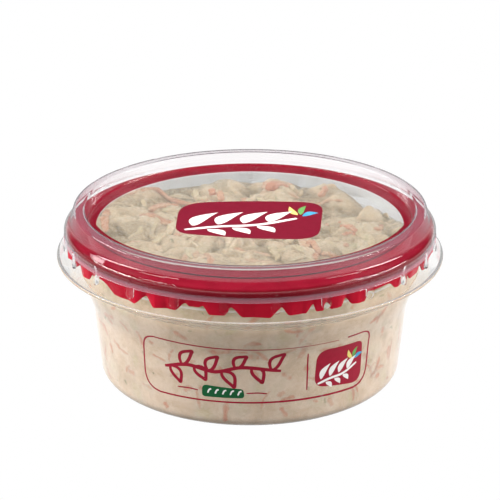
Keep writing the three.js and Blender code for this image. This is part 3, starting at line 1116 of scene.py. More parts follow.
@dataclass
class SealingFilm:
    """The film glued to the rim: clear window, red border, and a creased skirt folded down outside."""

    WINDOW_SHARES = (0.5, 0.9, 1.0)
    BORDER_SHARES = (0.35, 0.7, 1.0)
    BEND_ANGLES = (22, 45, 68)
    SKIRT_ROWS = 9

    tub: Tub
    thickness: float = 0.25
    glue: float = 0.2
    window_radius: float = 45.3
    window_shift: float = 0.9
    front_reach: float = 47.7
    front_shift: float = 11.5
    seat_radius: float = 50.5
    skirt_radius: float = 54.15
    fold_drop: float = 1.4
    gap_height: float = 40.9
    gap_behind: float = 39.0
    ramp: float = 0.24
    back_from: float = 66.0
    back_fade: float = 30.0
    back_tip: Span = (38.2, 1.4, 2)
    back_width: Span = (7.0, 9.0)
    least_width: float = 8.0
    tab_lean: float = 0.8
    crease: float = 0.75
    crease_pitch: float = 3.6
    crease_stray: float = 0.3
    steps: int = 1080
    seed: int = 53
    front_tabs: tuple[tuple[float, float], ...] = (
        (-66.0, 38.8), (-57.0, 41.2), (-49.5, 38.2), (-32.6, 38.5), (-19.6, 40.2), (-13.9, 38.4),
        (-5.6, 38.0), (9.2, 38.3), (18.9, 38.5), (23.2, 38.6), (29.8, 38.8), (38.2, 41.2),
        (47.6, 39.3), (56.8, 39.2),
    )
    tabs: list[Tab] = field(init=False)
    knots: np.ndarray = field(init=False)
    wander: np.ndarray = field(init=False)

    def __post_init__(self) -> None:
        """Draws the tabs behind the front ones, and the creases of all."""
        draws = SeededDraws(self.seed)
        starts = list(self.front_tabs)
        place, last = self.back_from, 360.0 + self.front_tabs[0][0]
        while place < last - self.least_width:
            starts.append((place, draws.within(self.back_tip)))
            place += draws.within(self.back_width)
        ends = [start for start, _ in starts[1:]] + [last]
        self.tabs = [
            Tab(start, end - start, tip, self.tab_lean * (draws.next() - 0.5))
            for (start, tip), end in zip(starts, ends)
        ]
        knots, wander = [], []
        for tab in self.tabs:
            folds = max(2, round(tab.width / self.crease_pitch))
            for fold in range(folds):
                stray = self.crease_stray * (draws.next() - 0.5)
                knots.append(tab.start + tab.width * (fold + stray) / folds)
                wander.append(self.crease * (2 * draws.next() - 1.8))
        self.knots = np.array(knots + [knots[0] + 360.0])
        self.wander = np.array(wander + [wander[0]])

    def turn_from_front(self, angle: float) -> float:
        """Returns an angle in radians as degrees to the right of the front, counted on from the first tab."""
        first = self.tabs[0].start
        return (math.degrees(angle) + 90.0 - first) % 360.0 + first

    def edge_height(self, angle: float) -> float:
        """Gives the height of the skirt's torn edge.

        Args:
            angle: Place round the tub, in radians.

        Returns:
            The height of the edge there.
        """
        turn = self.turn_from_front(angle)
        tab = next(t for t in reversed(self.tabs) if t.start <= turn + 1e-9)
        across = (turn - tab.start) / tab.width
        rise = min(1.0, min(across, 1 - across) / self.ramp)
        full = 0.2 * rise + 0.8 * rise * rise * (3 - 2 * rise)
        behind = min(1.0, max(0.0, (180 - abs(turn - 180) - self.back_from) / self.back_fade))
        gap = self.gap_height + (self.gap_behind - self.gap_height) * behind
        return max(tab.tip, gap) * (1 - full) + (tab.tip + tab.lean * (across - 0.5)) * full

    def fold_out(self, angle: float) -> float:
        """Returns how far the skirt's edge leans out at an angle: flat facets between creases."""
        turn = self.turn_from_front(angle)
        if turn < self.knots[0]:
            turn += 360.0
        return float(np.interp(turn, self.knots, self.wander))

    def window_reach(self, angle: float) -> float:
        """Gives the radius of the clear window, cut by two circles so that the border is wider in front.

        Args:
            angle: Place round the tub, in radians.

        Returns:
            The radius of the window there.
        """
        reaches = []
        for radius, shift in ((self.window_radius, -self.window_shift), (self.front_reach, self.front_shift)):
            rise = math.sin(angle) * shift
            reaches.append(rise + math.sqrt(rise * rise - shift**2 + radius**2))
        return min(reaches)

    def section(self, angle: float) -> list[Point2]:
        """Lists the film's section at an angle, from the axis out underneath and back on top.

        Args:
            angle: Place round the tub, in radians.

        Returns:
            Radius and height of each point.
        """
        under = self.tub.rim_height + self.glue
        top = under + self.thickness
        edge = self.edge_height(angle)
        out = self.fold_out(angle)
        fold = self.tub.rim_radius + self.glue
        window = self.window_reach(angle)
        inside, outside = self.skirt_radius - self.thickness, self.skirt_radius
        inner, outer = [], []
        for bend in [math.radians(a) for a in self.BEND_ANGLES]:
            sag = self.fold_drop * (1 - math.cos(bend))
            inner.append((fold + (inside - fold) * math.sin(bend), under - sag))
            outer.append((fold + (outside - fold) * math.sin(bend), top - sag))
        for t in np.linspace(0, 1, self.SKIRT_ROWS):
            start = under - self.fold_drop
            height = start + (edge - start) * t
            leaning = out * t**1.4
            inner.append((inside + leaning, height))
            outer.append((outside + leaning, height + (1 - t) * self.thickness))
        flat = [window * share for share in self.WINDOW_SHARES]
        flat += [window + (self.seat_radius - window) * share for share in self.BORDER_SHARES]
        below = [(0.0, under)] + [(r, under) for r in flat] + [(fold, under)] + inner
        above = outer[::-1] + [(fold, top)]
        return below + above + [(r, top) for r in flat[::-1]] + [(0.0, top)]

    def build(self) -> None:
        """Builds the film: one sheet, clear in the window, red outside it and white-backed underneath."""
        angles = even_angles(self.steps)
        profiles = np.array([self.section(a) for a in angles])
        points, faces = skin_round(profiles, angles)
        piece = make_piece("sealing_film", points, faces, Finish.FILM_RED, "seal_film")
        piece.visible_shadow = piece.visible_diffuse = False
        piece.data.materials.append(Finish.WINDOW.material())
        piece.data.materials.append(Finish.FILM_WHITE.material())
        count = profiles.shape[1] - 2
        window = len(self.WINDOW_SHARES)
        underside = window + len(self.BORDER_SHARES) + 1 + len(self.BEND_ANGLES) + self.SKIRT_ROWS
        for face in piece.data.polygons:
            rows = sorted(v % count for v in face.vertices if v < self.steps * count)
            if rows[-1] < window or rows[0] >= count - window:
                face.material_index = 1
            elif rows[-1] < underside:
                face.material_index = 2


# ------------------------------------------------------------------ lid


@dataclass
class PushOnLid:
    """The clear lid: recessed panel, stacking ring, shoulder, and a skirt with small lugs."""

    LUG_RAMP = (-1.35, -1.2, -1.08, -1.01, -0.99, -0.93, -0.82, -0.66, -0.45, -0.2)
    LUG_ROWS = (1.0, 0.7, 0.45, 0.28, 0.18, 0.1, 0.04, 0.0)

    thickness: float = 0.38
    panel_height: float = 47.5
    panel_radius: float = 47.7
    ring_height: float = 51.7
    ring_inner: float = 48.7
    ring_outer: float = 51.9
    shoulder_radius: float = 53.1
    shoulder_height: float = 47.9
    skirt_radius: float = 54.9
    edge_radius: float = 54.8
    skirt_top: float = 45.9
    skirt_edge: float = 42.8
    lugs: int = 24
    lug_width: float = 2.8
    lug_top: float = 45.9
    lug_tip: float = 39.6
    lug_proud: float = 0.5
    plaque: tuple[Corner, ...] = (
        Corner(-21.8, -13.2, 5.5), Corner(-21.2, 12.6, 9.5), Corner(0.0, 14.3, 8.0), Corner(22.2, 13.0, 7.5),
        Corner(19.9, -18.4, 8.0), Corner(0.0, -17.6, 8.0),
    )
    motif_centre: Point2 = (-2.6, -2.6)
    motif_size: Point2 = (16.4, 12.6)
    motif_pen: float = 1.5
    leaves_foot: Point2 = (14.6, 0.5)
    leaves_stretch: Point2 = (1.5, 2.5)
    ink_lift: Point2 = (0.02, 0.05)
    over_lift: Point2 = (0.09, 0.11)

    def angles(self) -> np.ndarray:
        """Lists the angles of the skin's stations: dense at the lugs, even between them.

        Returns:
            The angles in radians.
        """
        half = self.lug_width / 2 / self.edge_radius
        pitch = 2 * math.pi / self.lugs
        at_lug = [t * half for t in self.LUG_RAMP + (0.0,) + tuple(-t for t in reversed(self.LUG_RAMP))]
        foot = -self.LUG_RAMP[0] * half
        between = np.linspace(foot, pitch - foot, 14)[1:-1].tolist()
        return np.array([pitch * (i + 0.5) + a for i in range(self.lugs) for a in at_lug + between])

    def section(self, angle: float) -> list[Point2]:
        """Lists the lid's section at an angle, from the axis out underneath and back on top.

        Args:
            angle: Place round the lid, in radians.

        Returns:
            Radius and height of each point.
        """
        pitch = 2 * math.pi / self.lugs
        across = ((angle / pitch) % 1 - 0.5) * pitch * self.edge_radius / (self.lug_width / 2)
        inside = max(0.0, 1 - across * across)
        on_lug = abs(across) < 1
        tip_round = self.lug_width / 2
        edge = self.lug_tip + tip_round * (1 - math.sqrt(inside)) if on_lug else self.skirt_edge
        t = self.thickness
        under, ring_under = self.panel_height - t, self.ring_height - t
        below = rounded([
            Corner(0, under),
            Corner(self.panel_radius + 0.7 * t, under, 0.6),
            Corner(self.ring_inner + 0.85 * t, ring_under, 0.4),
            Corner(self.ring_outer - 0.85 * t, ring_under, 0.4),
            Corner(self.shoulder_radius - t, self.shoulder_height - 0.6 * t, 0.8),
            Corner(self.skirt_radius - t, self.skirt_top, 0.8),
            Corner(self.edge_radius - t, self.skirt_edge),
        ])
        above = rounded([
            Corner(self.edge_radius, self.skirt_edge),
            Corner(self.skirt_radius, self.skirt_top + 0.15, 0.9),
            Corner(self.shoulder_radius, self.shoulder_height, 0.8),
            Corner(self.ring_outer, self.ring_height, 0.55),
            Corner(self.ring_inner, self.ring_height, 0.55),
            Corner(self.panel_radius, self.panel_height, 0.8),
            Corner(0, self.panel_height),
        ])
        drop = self.skirt_top - 1.0 - edge
        inner = [(self.edge_radius - t, edge + drop * share) for share in self.LUG_ROWS]
        outer = [
            (self.edge_radius + self.lug_swell(across, share), edge + drop * share)
            for share in reversed(self.LUG_ROWS)
        ]
        return below[:-1] + inner + outer + above[1:]

    def lug_swell(self, across: float, share: float) -> float:
        """Gives how far a lug stands out of the skirt: a drop, narrow at its top and full near its tip.

        Args:
            across: Place across the lug, from -1 to 1.
            share: Place along it, from 0 at its tip to 1 at its top.

        Returns:
            The distance there.
        """
        side = max(0.0, 1 - (across / (1 - 0.4 * share)) ** 2)
        return self.lug_proud * side * (0.4 + 0.6 * math.exp(-(((share - 0.2) / 0.2) ** 2)))

    def on_panel(self, along: float, up: float, lift: float) -> Point3:
        """Returns the point on the lid's panel at these two distances, lifted off it."""
        return along, up, self.panel_height + lift

    def build(self) -> None:
        """Builds the lid and the plaque printed on it."""
        angles = self.angles()
        points, faces = skin_round(np.array([self.section(a) for a in angles]), angles)
        make_piece("lid_moulding", points, faces, Finish.LID, "lid")
        red, white = InkLayer(self.on_panel, *self.ink_lift), InkLayer(self.on_panel, *self.over_lift)
        red.mark(filled(rounded_outline(self.plaque), across=8))
        white.motif(self.motif_centre, self.motif_size, self.motif_pen)
        make_print("lid_print_red", red, Finish.LID_RED, "lid")
        make_print("lid_print_white", white, Finish.INK_WHITE, "lid")
        small_leaves(self.on_panel, self.over_lift, self.leaves_foot, self.leaves_stretch, "lid", "lid")


# ------------------------------------------------------------------ coleslaw


class Shred(Enum):
    """What a shred is cut from."""

    CABBAGE = Finish.CABBAGE
    CARROT = Finish.CARROT


@dataclass(frozen=True)
class LaidShred:
    """One large shred laid on the heap: where it runs, how wide and thick, and how it rises."""

    kind: Shred
    path: tuple[Point2, ...]
    width: float
    thick: float
    rise: tuple[float, float] = (0.0, 0.0)
    shown: float = 1.0


@dataclass(frozen=True)
class Strewn:
    """One kind of cut vegetable strewn on the heap: how many, and the spans of its sizes."""

    name: str
    finish: Finish
    count: int
    length: Span
    width: Span
    thick: Span
    sink: Span
    shown: Span


@dataclass(frozen=True)
class Pressed:
    """One kind pressed to the wall: how many, its spans, and how much farther than the core it reaches."""

    name: str
    finish: Finish
    count: int
    length: Span
    width: Span
    proud: float
    shown: Span


@dataclass
class Coleslaw:
    """The salad: a dressed core that fills the tub, with shreds on top and pieces pressed to the wall."""

    tub: Tub
    into_wall: float = 0.06
    level: float = 40.0
    limit: float = 45.6
    tilt: Point2 = (-0.012, 0.012)
    relief_room: float = 0.6
    seed: int = 250
    steps: int = 480
    rings: int = 140
    foot_heights: tuple[float, ...] = (0.95, 1.6, 2.6)
    shoulder_height: float = 36.0
    base_reach: float = 40.0
    smear: float = 0.25
    smear_mm: float = 2.3
    lump_count: int = 90
    lump_spread: float = 49.0
    lump_width: Span = (4.0, 5.0)
    lump_rise: Span = (1.2, 2.6)
    relief_spread: float = 48.0
    strand_count: int = 260
    strand_length: Span = (4.0, 11.0, 1.5)
    strand_width: Span = (1.0, 1.5)
    strand_rise: Span = (0.25, 0.7)
    bit_count: int = 180
    bit_width: Span = (1.2, 2.0)
    bit_rise: Span = (0.25, 0.6)
    off_wall: float = 3.2
    on_top: tuple[Strewn, ...] = (
        Strewn(
            "cabbage_shreds", Finish.CABBAGE, 70, length=(6.0, 12.0, 1.5), width=(1.6, 2.0),
            thick=(1.1, 0.7), sink=(0.9, 0.7), shown=(0.3, 0.5),
        ),
        Strewn(
            "carrot_shreds", Finish.CARROT, 44, length=(4.0, 8.0), width=(1.8, 1.6),
            thick=(1.0, 0.5), sink=(0.7, 0.5), shown=(0.4, 0.6),
        ),
        Strewn(
            "herb_bits", Finish.HERB, 30, length=(1.2, 1.2), width=(0.7, 0.5),
            thick=(0.5,), sink=(0.3,), shown=(0.8,),
        ),
    )
    on_wall: tuple[Pressed, ...] = (
        Pressed("cabbage_at_wall", Finish.CABBAGE, 150, (3.0, 8.0), (2.0, 3.0), 0.01, (0.3, 0.5)),
        Pressed("carrot_at_wall", Finish.CARROT, 190, (2.0, 7.0, 1.4), (0.9, 1.5), 0.02, (0.7, 0.3)),
        Pressed("herb_bits_at_wall", Finish.HERB, 55, (0.8, 2.4, 2), (0.6, 0.7), 0.03, (0.5, 0.5)),
    )
    wall_span: Span = (3.5, 34.0)
    wall_limits: Point2 = (2.0, 38.5)
    wall_depth: float = 0.35
    form: tuple[tuple[float, float, float, float], ...] = (
        (34.0, 30.0, 13.0, -2.6), (-36.0, 28.0, 13.0, 2.0), (-44.0, 6.0, 11.0, 1.6), (39.0, 16.0, 7.0, -1.2),
        (-8.0, 38.0, 9.0, -1.0), (-28.0, 3.0, 7.0, -1.2), (2.0, -20.0, 18.0, 1.4),
        (-20.0, -12.0, 5.0, -1.2),
    )
    lumps: np.ndarray = field(init=False)
    strands: np.ndarray = field(init=False)
    bits: np.ndarray = field(init=False)

    def __post_init__(self) -> None:
        """Draws the clumps that give the heap its form, and the coated strands and bits of its relief."""
        draws = SeededDraws(self.seed)
        lumps, strands, bits = [], [], []
        for _ in range(self.lump_count):
            place = draws.in_disc(self.lump_spread)
            lumps.append((*place, draws.within(self.lump_width), draws.within(self.lump_rise)))
        draws = SeededDraws(self.seed + 7)
        for _ in range(self.strand_count):
            place = draws.in_disc(self.relief_spread)
            heading, length = draws.next() * math.pi, draws.within(self.strand_length)
            width, bend = draws.within(self.strand_width), (draws.next() - 0.5) * 0.5 * length
            strands.append((*place, heading, length, width, bend, draws.within(self.strand_rise)))
        for _ in range(self.bit_count):
            place = draws.in_disc(self.relief_spread)
            bits.append((*place, draws.within(self.bit_width), draws.within(self.bit_rise)))
        self.lumps, self.strands, self.bits = np.array(lumps), np.array(strands), np.array(bits)

    def clumps(self, x: np.ndarray, y: np.ndarray) -> np.ndarray:
        """Gives how far the clumps stand up: caps that meet in creases.

        Args:
            x: Places along X.
            y: Places along Y.

        Returns:
            The rise at each place.
        """
        bent_x = x + 1.3 * np.sin(0.31 * y + 0.7) + 0.7 * np.sin(0.73 * y + 0.2 * x)
        bent_y = y + 1.2 * np.sin(0.37 * x + 2.1) + 0.7 * np.sin(0.67 * x - 0.3 * y)
        clump = np.zeros_like(x)
        for lump_x, lump_y, width, rise in self.lumps:
            off = (bent_x - lump_x) ** 2 + (bent_y - lump_y) ** 2
            clump = np.maximum(clump, rise * (1 - off / width**2))
        return clump

    def height(self, x: np.ndarray, y: np.ndarray) -> np.ndarray:
        """Gives the height of the heap's top without its fine relief.

        Args:
            x: Places along X.
            y: Places along Y.

        Returns:
            The height at each place.
        """
        x, y = np.asarray(x, float), np.asarray(y, float)
        top = self.level + self.tilt[0] * x + self.tilt[1] * y + self.clumps(x, y)
        for form_x, form_y, width, rise in self.form:
            top = top + rise * np.exp(-((x - form_x) ** 2 + (y - form_y) ** 2) / width**2)
        return np.minimum(top, self.limit - self.relief_room)

    def relief(self, x: np.ndarray, y: np.ndarray) -> np.ndarray:
        """Gives the fine relief: strands and bits under the dressing.

        Args:
            x: Places along X.
            y: Places along Y.

        Returns:
            Height over the clumps at each place.
        """
        fine = np.zeros_like(x)
        for sx, sy, heading, length, width, bend, rise in self.strands:
            near = (np.abs(x - sx) < length) & (np.abs(y - sy) < length)
            dx, dy = x[near] - sx, y[near] - sy
            along = (dx * math.cos(heading) + dy * math.sin(heading)) / (length / 2)
            across = (-dx * math.sin(heading) + dy * math.cos(heading) - bend * (1 - along**2)) / width
            swell = np.clip(1 - along**4, 0, 1) * np.clip(1 - across**2, 0, 1)
            fine[near] = np.maximum(fine[near], rise * np.sqrt(swell) * (0.6 + 0.4 * swell))
        for bx, by, width, rise in self.bits:
            near = (np.abs(x - bx) < width) & (np.abs(y - by) < width)
            swell = np.clip(1 - ((x[near] - bx) ** 2 + (y[near] - by) ** 2) / width**2, 0, 1)
            fine[near] = np.maximum(fine[near], rise * np.sqrt(swell))
        return fine

    def core(self) -> None:
        """Builds the core, which reaches a little into the wall so that no gap shows."""
        angles = even_angles(self.steps)
        tub = self.tub
        wall_heights = [*self.foot_heights, tub.foot_height, tub.middle_height, tub.waist_height]
        wall_heights += np.linspace(tub.waist_height, tub.neck_height, 8)[1:].tolist()
        wall_heights.append(self.shoulder_height)
        side = [(tub.inner_radius(h) + self.into_wall, max(h, tub.wall + 0.5)) for h in wall_heights]
        brim = tub.inner_radius(self.level) + self.into_wall
        reaches = brim * np.linspace(1, 0, self.rings) ** 0.85
        xs, ys = reaches * np.cos(angles)[:, None], reaches * np.sin(angles)[:, None]
        smear = np.array([
            [noise.noise(Vector((x / self.smear_mm, y / self.smear_mm, 3.0))) for x, y in zip(*row)]
            for row in zip(xs, ys)
        ])
        fine = self.relief(xs, ys)
        tops = np.minimum(self.height(xs, ys) + fine + self.smear * smear, self.limit)
        # Painted shade: the darker tint shows most in the creases between clumps and the hollows between
        # strands.
        crease_shade = np.zeros((self.steps, len(side) + self.rings))
        crease_shade[:, len(side) :] = np.clip(1.2 - self.clumps(xs, ys), 0, 1) * 0.6 + np.clip(0.5 - fine, 0, 0.5)
        profiles = np.zeros((self.steps, 2 + len(side) + self.rings, 2))
        bottom = tub.wall - 0.05
        profiles[:, 0], profiles[:, 1] = (0.0, bottom), (self.base_reach, bottom)
        profiles[:, 2 : 2 + len(side)] = side
        profiles[:, 2 + len(side) :, 0], profiles[:, 2 + len(side) :, 1] = reaches, tops
        profiles[:, -1, 1] = tops[:, -1].mean()
        points, faces = skin_round(profiles, angles)
        shown = np.pad(crease_shade[:, :-1], ((0, 0), (1, 0))).ravel().tolist() + [0.0, 0.0]
        make_piece("coleslaw_core", points, faces, Finish.DRESSING, "coleslaw", shown)

    def lay(self, line: np.ndarray, width: float, thick: float, sink: float, rise: Point2 = (0.0, 0.0),
            lean: Point2 = (0.0, 0.0)) -> Body:
        """Lays one shred along a line on the heap.

        Args:
            line: The line's points, n by 2.
            width: The shred's width.
            thick: Its thickness.
            sink: How deep its middle lies in the dressing.
            rise: How far its two ends stand up.
            lean: Which way its flat side leans.

        Returns:
            Its points and faces.
        """
        t = np.linspace(-1, 1, len(line))
        z = self.height(line[:, 0], line[:, 1]) + self.relief(line[:, 0], line[:, 1])
        z = np.convolve(np.pad(z, 2, mode="edge"), np.ones(5) / 5, mode="valid")
        lift = np.where(t < 0, rise[0], rise[1]) * np.abs(t) ** 1.5
        z = np.minimum(z - sink + thick * 0.5 + lift, self.limit - thick * 0.5)
        taper = np.clip(1.2 - np.abs(t) ** 5, 0.3, 1) * (0.88 + 0.12 * np.sin(7 * t + line[0, 0]))
        return sweep(np.column_stack([line, z]), width / 2 * taper, thick / 2 * taper, up=(*lean, 1.0))

    def stray(self, draws: SeededDraws, length: float, width: float, thick: float, sink: float) -> Body:
        """Makes one shred at a drawn place.

        Args:
            draws: The row of random numbers.
            length: Its length.
            width: Its width.
            thick: Its thickness.
            sink: How deep its middle lies in the dressing.

        Returns:
            Its points and faces.
        """
        reach = (self.tub.neck_radius - self.off_wall - length / 2) * math.sqrt(draws.next())
        around, heading = draws.next() * 2 * math.pi, draws.next() * 2 * math.pi
        bend = (draws.next() - 0.5) * 0.5 * length
        t = np.linspace(-0.5, 0.5, max(7, int(length / 0.9)))
        side = bend * (1 - 4 * t**2) + 0.04 * length * np.sin(9 * t + around)
        x = reach * math.cos(around) + length * t * math.cos(heading) - side * math.sin(heading)
        y = reach * math.sin(around) + length * t * math.sin(heading) + side * math.cos(heading)
        lean = (0.8 * (draws.next() - 0.5), 0.8 * (draws.next() - 0.5))
        return self.lay(np.stack([x, y], axis=1), width, thick, sink, lean=lean)

    def scatter_on_top(self) -> None:
        """Lays the shreds and bits on the heap, one piece for each kind."""
        draws = SeededDraws(self.seed + 1)
        batches = {kind.finish: Batch() for kind in self.on_top}
        for kind in self.on_top:
            for _ in range(kind.count):
                length, width = draws.within(kind.length), draws.within(kind.width)
                thick, sink = draws.within(kind.thick), draws.within(kind.sink)
                body = self.stray(draws, length, width, thick, sink)
                batches[kind.finish].add(body, draws.within(kind.shown))
        for shred in LAID_SHREDS:
            line = smooth_line(shred.path, 8)
            body = self.lay(line, shred.width, shred.thick, 0.3 * shred.thick, shred.rise)
            batches[shred.kind.value].add(body, shred.shown)
        for kind in self.on_top:
            self.finished(batches[kind.finish], kind)

    def finished(self, batch: Batch, kind: Strewn | Pressed) -> None:
        """Makes a gathered kind one piece of the salad."""
        make_piece(
            kind.name, batch.points, batch.faces, kind.finish, "coleslaw", batch.shown,
        )

    def at_wall(self, along: float, height: float, lift: float) -> Point3:
        """Returns the point on the wall's inside at this distance round it and height, lifted outwards."""
        radius = self.tub.inner_radius(height) + lift
        angle = along / self.tub.waist_radius - math.pi / 2
        return radius * math.cos(angle), radius * math.sin(angle), height

    def press(self, batch: Batch, draws: SeededDraws, length: float, width: float, out: float,
              shown: float) -> None:
        """Makes one piece that is pressed flat to the inside of the wall, faint towards its edge.

        Args:
            batch: The mesh that gets it.
            draws: The row of random numbers.
            length: Its length.
            width: Its width.
            out: How far it reaches into the wall.
            shown: How far its own colour shows in the middle.
        """
        along = (draws.next() - 0.5) * 2 * math.pi * self.tub.waist_radius
        height = draws.within(self.wall_span)
        turn = draws.next() * math.pi
        bend = (draws.next() - 0.5) * 0.4 * length
        t = np.linspace(-0.5, 0.5, max(7, int(length / 0.7)))
        side = bend * (1 - 4 * t**2)
        rise = height + length * t * math.sin(turn) + side * math.cos(turn)
        path = np.stack([
            along + length * t * math.cos(turn) - side * math.sin(turn), np.clip(rise, *self.wall_limits),
        ], axis=1)
        taper = np.sqrt(np.maximum(1 - (2 * np.abs(t)) ** 4, 0.02))
        halves = width / 2 * taper * (1 + 0.25 * np.sin(11 * t + along))
        across = 6
        ends = np.clip(3.2 * (1 - np.abs(2 * t)), 0, 1)
        edges = np.sin(np.linspace(0, math.pi, across + 1)) ** 0.8
        fade = np.tile(shown * np.outer(ends, edges).ravel(), 2).tolist()
        batch.add(plate(banded(path, halves, across), self.at_wall, -self.wall_depth, out), fade)

    def scatter_at_wall(self) -> None:
        """Presses cabbage, carrot and leaf bits to the wall, one piece for each kind."""
        draws = SeededDraws(self.seed + 2)
        for kind in self.on_wall:
            batch = Batch()
            for _ in range(kind.count):
                length, width = draws.within(kind.length), draws.within(kind.width)
                shown = draws.within(kind.shown)
                self.press(batch, draws, length, width, self.into_wall + kind.proud, shown)
            self.finished(batch, kind)

    def build(self) -> None:
        """Builds the salad."""
        self.core()
        self.scatter_on_top()
        self.scatter_at_wall()


LAID_SHREDS = (
    LaidShred(Shred.CARROT, ((-38, 26), (-31, 31), (-25, 30), (-20, 27.5), (-13, 28)), 2.4, 1.4, shown=0.75),
    LaidShred(Shred.CABBAGE, ((-17.5, 36), (-16, 32), (-13.5, 28.5)), 2.4, 1.6, (2.2, 0.0), 0.5),
    LaidShred(Shred.CARROT, ((-12, 36), (-11.4, 32)), 2.6, 1.6, (1.5, 0.0), 0.9),
    LaidShred(Shred.CARROT, ((-9.4, 33), (-8.8, 27.5)), 2.4, 1.5, (0.6, 0.0), 0.9),
    LaidShred(Shred.CARROT, ((5.0, 35.5), (9, 38), (13.4, 39)), 4.6, 2.6, (0.4, 0.8), 0.95),
    LaidShred(Shred.CABBAGE, ((12.5, 37), (16.5, 38.5)), 3.6, 2.4, (0.5, 1.0), 0.5),
    LaidShred(Shred.CARROT, ((-43.2, 15), (-43.6, 7), (-42.8, -1)), 3.0, 1.3, shown=0.8),
    LaidShred(Shred.CARROT, ((-31, 18), (-27.5, 21), (-24.4, 25)), 2.4, 1.5, shown=0.7),
    LaidShred(Shred.CARROT, ((27.2, 7.4), (32.4, 0.4)), 2.4, 1.4, (0.6, 0.0), 0.9),
    LaidShred(Shred.CARROT, ((16.5, -9.5), (18.5, -13), (20, -17.5)), 2.4, 1.5, (0.5, 0.0), 0.8),
    LaidShred(Shred.CARROT, ((20.5, -17), (24, -16.5), (29, -17.5)), 2.6, 1.4, shown=0.7),
    LaidShred(Shred.CARROT, ((21.5, 36), (24, 38)), 2.2, 1.8, (0.5, 1.5), 0.7),
    LaidShred(Shred.CARROT, ((4.0, 42), (5.4, 43)), 2.4, 2.0, (0.5, 1.2), 0.7),
    LaidShred(Shred.CABBAGE, ((-28, -9), (-25, -3), (-21.5, 6)), 2.8, 1.7, shown=0.4),
)


# ------------------------------------------------------------------ studio


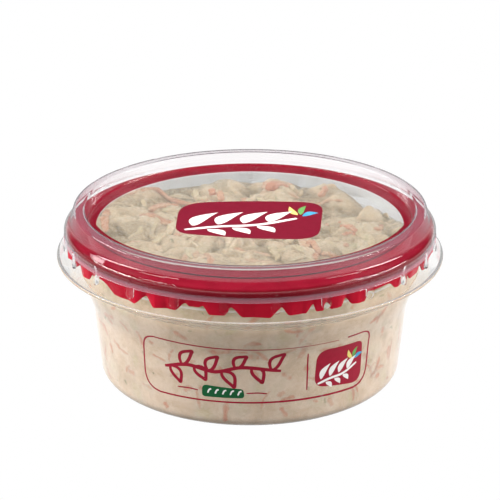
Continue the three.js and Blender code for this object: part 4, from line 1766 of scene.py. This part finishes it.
@dataclass
class Studio:
    """A white sweep, a softbox and a small rim light at each side, one behind, one above, and a long lens.

    The plastic mirrors a room of its own, whose brightness goes by how high it lies: in front it is
    bright low down and dark above, and on the far side dark but for the horizon and a band high up.
    """

    camera_distance: float = 600.0
    camera_elevation: float = 22.35
    aim_height: float = 24.0
    lens: float = 144.0
    sensor: float = 36.0
    aim_row: float = 291.0
    picture: float = 500.0
    floor_size: float = 4.0
    floor_drop: float = 0.02
    table_bounce: float = 0.33
    lamp_aim: Point3 = (0.0, 0.0, 0.03)
    front_shine: Stops = ((0.0, 0.18), (0.06, 0.9), (0.22, 0.9), (0.5, 0.04), (1.0, 0.008))
    back_shine: Stops = ((0.0, 0.5), (0.2, 0.015), (0.5, 0.015), (0.7, 0.4), (0.92, 0.025))
    room_light: Stops = ((0.0, 0.20), (0.3, 0.26), (0.6, 0.85), (1.0, 1.0))
    shine_strength: float = 2.0
    room_strength: float = 1.5

    def softbox(self, name: str, azimuth: float, elevation: float, distance: float, size: Point2,
                power: float, glare: bool = True) -> None:
        """Hangs one softbox that faces the pack.

        Args:
            name: The lamp's name.
            azimuth: Degrees round the pack, 0 in front and 90 on its right.
            elevation: Degrees above the table.
            distance: Metres from the pack.
            size: Width and height in metres.
            power: Watts.
            glare: Whether it shows in the gloss of the plastic, or is cross-polarised and doesn't.
        """
        data = bpy.data.lights.new(name, "AREA")
        data.shape = "ELLIPSE"
        data.size, data.size_y = size
        data.energy = power
        lamp = bpy.data.objects.new(name, data)
        lamp.visible_glossy = lamp.visible_transmission = glare
        bpy.context.scene.collection.objects.link(lamp)
        a, e = math.radians(azimuth), math.radians(elevation)
        aim = Vector(self.lamp_aim)
        way = Vector((math.sin(a) * math.cos(e), -math.cos(a) * math.cos(e), math.sin(e)))
        lamp.location = aim + distance * way
        lamp.rotation_euler = (aim - lamp.location).to_track_quat("-Z", "Y").to_euler()

    def world(self) -> None:
        """Surrounds the pack with white for the eye, a soft room for light and a striped one for gloss."""
        world = bpy.data.worlds.new("studio")
        bpy.context.scene.world = world
        world.use_nodes = True
        tree = world.node_tree
        tree.nodes.clear()
        rays = add_node(tree, "LightPath")
        direction = add_node(tree, "SeparateXYZ", Vector=add_node(tree, "TexCoord").outputs["Generated"])
        rise = direction.outputs["Z"]
        front, back, room_light = [
            colour_stops(add_node(tree, "ValToRGB", i0=rise), stops)
            for stops in (self.front_shine, self.back_shine, self.room_light)
        ]
        behind = add_node(tree, "MapRange", Value=direction.outputs["Y"], i1=-0.15, i2=0.15)
        mirrored = add_node(tree, "Mix", BLEND, i0=behind, i6=front, i7=back)
        shine = add_node(tree, "Background", Color=mirrored.outputs[2], Strength=self.shine_strength)
        room = add_node(tree, "Background", Color=room_light, Strength=self.room_strength)
        white = add_node(tree, "Background", Color=(1, 1, 1, 1), Strength=1.0)
        glossy = add_node(tree, "Math", PAST, i0=rays.outputs["Glossy Depth"], i1=0.5)
        diffuse = add_node(tree, "Math", PAST, i0=rays.outputs["Diffuse Depth"], i1=0.5)
        clear = add_node(tree, "MixShader", i0=glossy, i1=white, i2=shine)
        mixed = add_node(tree, "MixShader", i0=diffuse, i1=clear, i2=room)
        add_node(tree, "OutputWorld", Surface=mixed)
        world.cycles.sampling_method = "NONE"

    def floor(self) -> None:
        """Lays the lit white table."""
        half = self.floor_size / 2
        mesh = bpy.data.meshes.new("studio_floor")
        corners = [(-half, -half, 0), (half, -half, 0), (half, half, 0), (-half, half, 0)]
        mesh.from_pydata(corners, [], [(0, 1, 2, 3)])
        mesh.materials.append(LitTable(bounce=self.table_bounce).build())
        floor = bpy.data.objects.new("studio_floor", mesh)
        floor.location.z = -self.floor_drop * MM
        bpy.context.scene.collection.objects.link(floor)

    def camera(self) -> None:
        """Sets the long lens at the height and distance that the pack is seen from."""
        data = bpy.data.cameras.new("camera")
        data.lens = self.lens
        data.sensor_width = self.sensor
        data.shift_y = (self.aim_row - self.picture / 2) / self.picture
        camera = bpy.data.objects.new("camera", data)
        bpy.context.scene.collection.objects.link(camera)
        e = math.radians(self.camera_elevation)
        aim = Vector((0, 0, self.aim_height * MM))
        camera.location = aim + self.camera_distance * MM * Vector((0, -math.cos(e), math.sin(e)))
        camera.rotation_euler = (aim - camera.location).to_track_quat("-Z", "Y").to_euler()
        bpy.context.scene.camera = camera

    def build(self) -> None:
        """Builds the studio."""
        self.world()
        self.floor()
        self.camera()
        self.softbox("softbox_left", -86, 21, 0.7, (0.5, 0.08), 3.65)
        self.softbox("softbox_right", 86, 21, 0.7, (0.5, 0.08), 3.65)
        self.softbox("softbox_top", -50, 60, 0.9, (0.5, 0.4), 1.4, glare=False)
        self.softbox("softbox_rim_left", -62, 38, 0.8, (0.36, 0.1), 0.8)
        self.softbox("softbox_rim_right", 66, 36, 0.8, (0.36, 0.1), 0.7)
        self.softbox("softbox_back_left", -118, 30, 0.8, (0.3, 0.12), 0.8)
        scene = bpy.context.scene
        scene.view_settings.view_transform = "Standard"
        scene.view_settings.look = "None"


def main() -> None:
    """Builds the pack and its studio."""
    logging.basicConfig(level=logging.INFO, format="%(name)s %(message)s")
    tub = Tub()
    tub.build()
    Coleslaw(tub).build()
    SealingFilm(tub).build()
    PushOnLid().build()
    WallPrint(tub).build()
    Studio().build()
    bpy.context.view_layer.update()


if __name__ == "__main__":
    main()
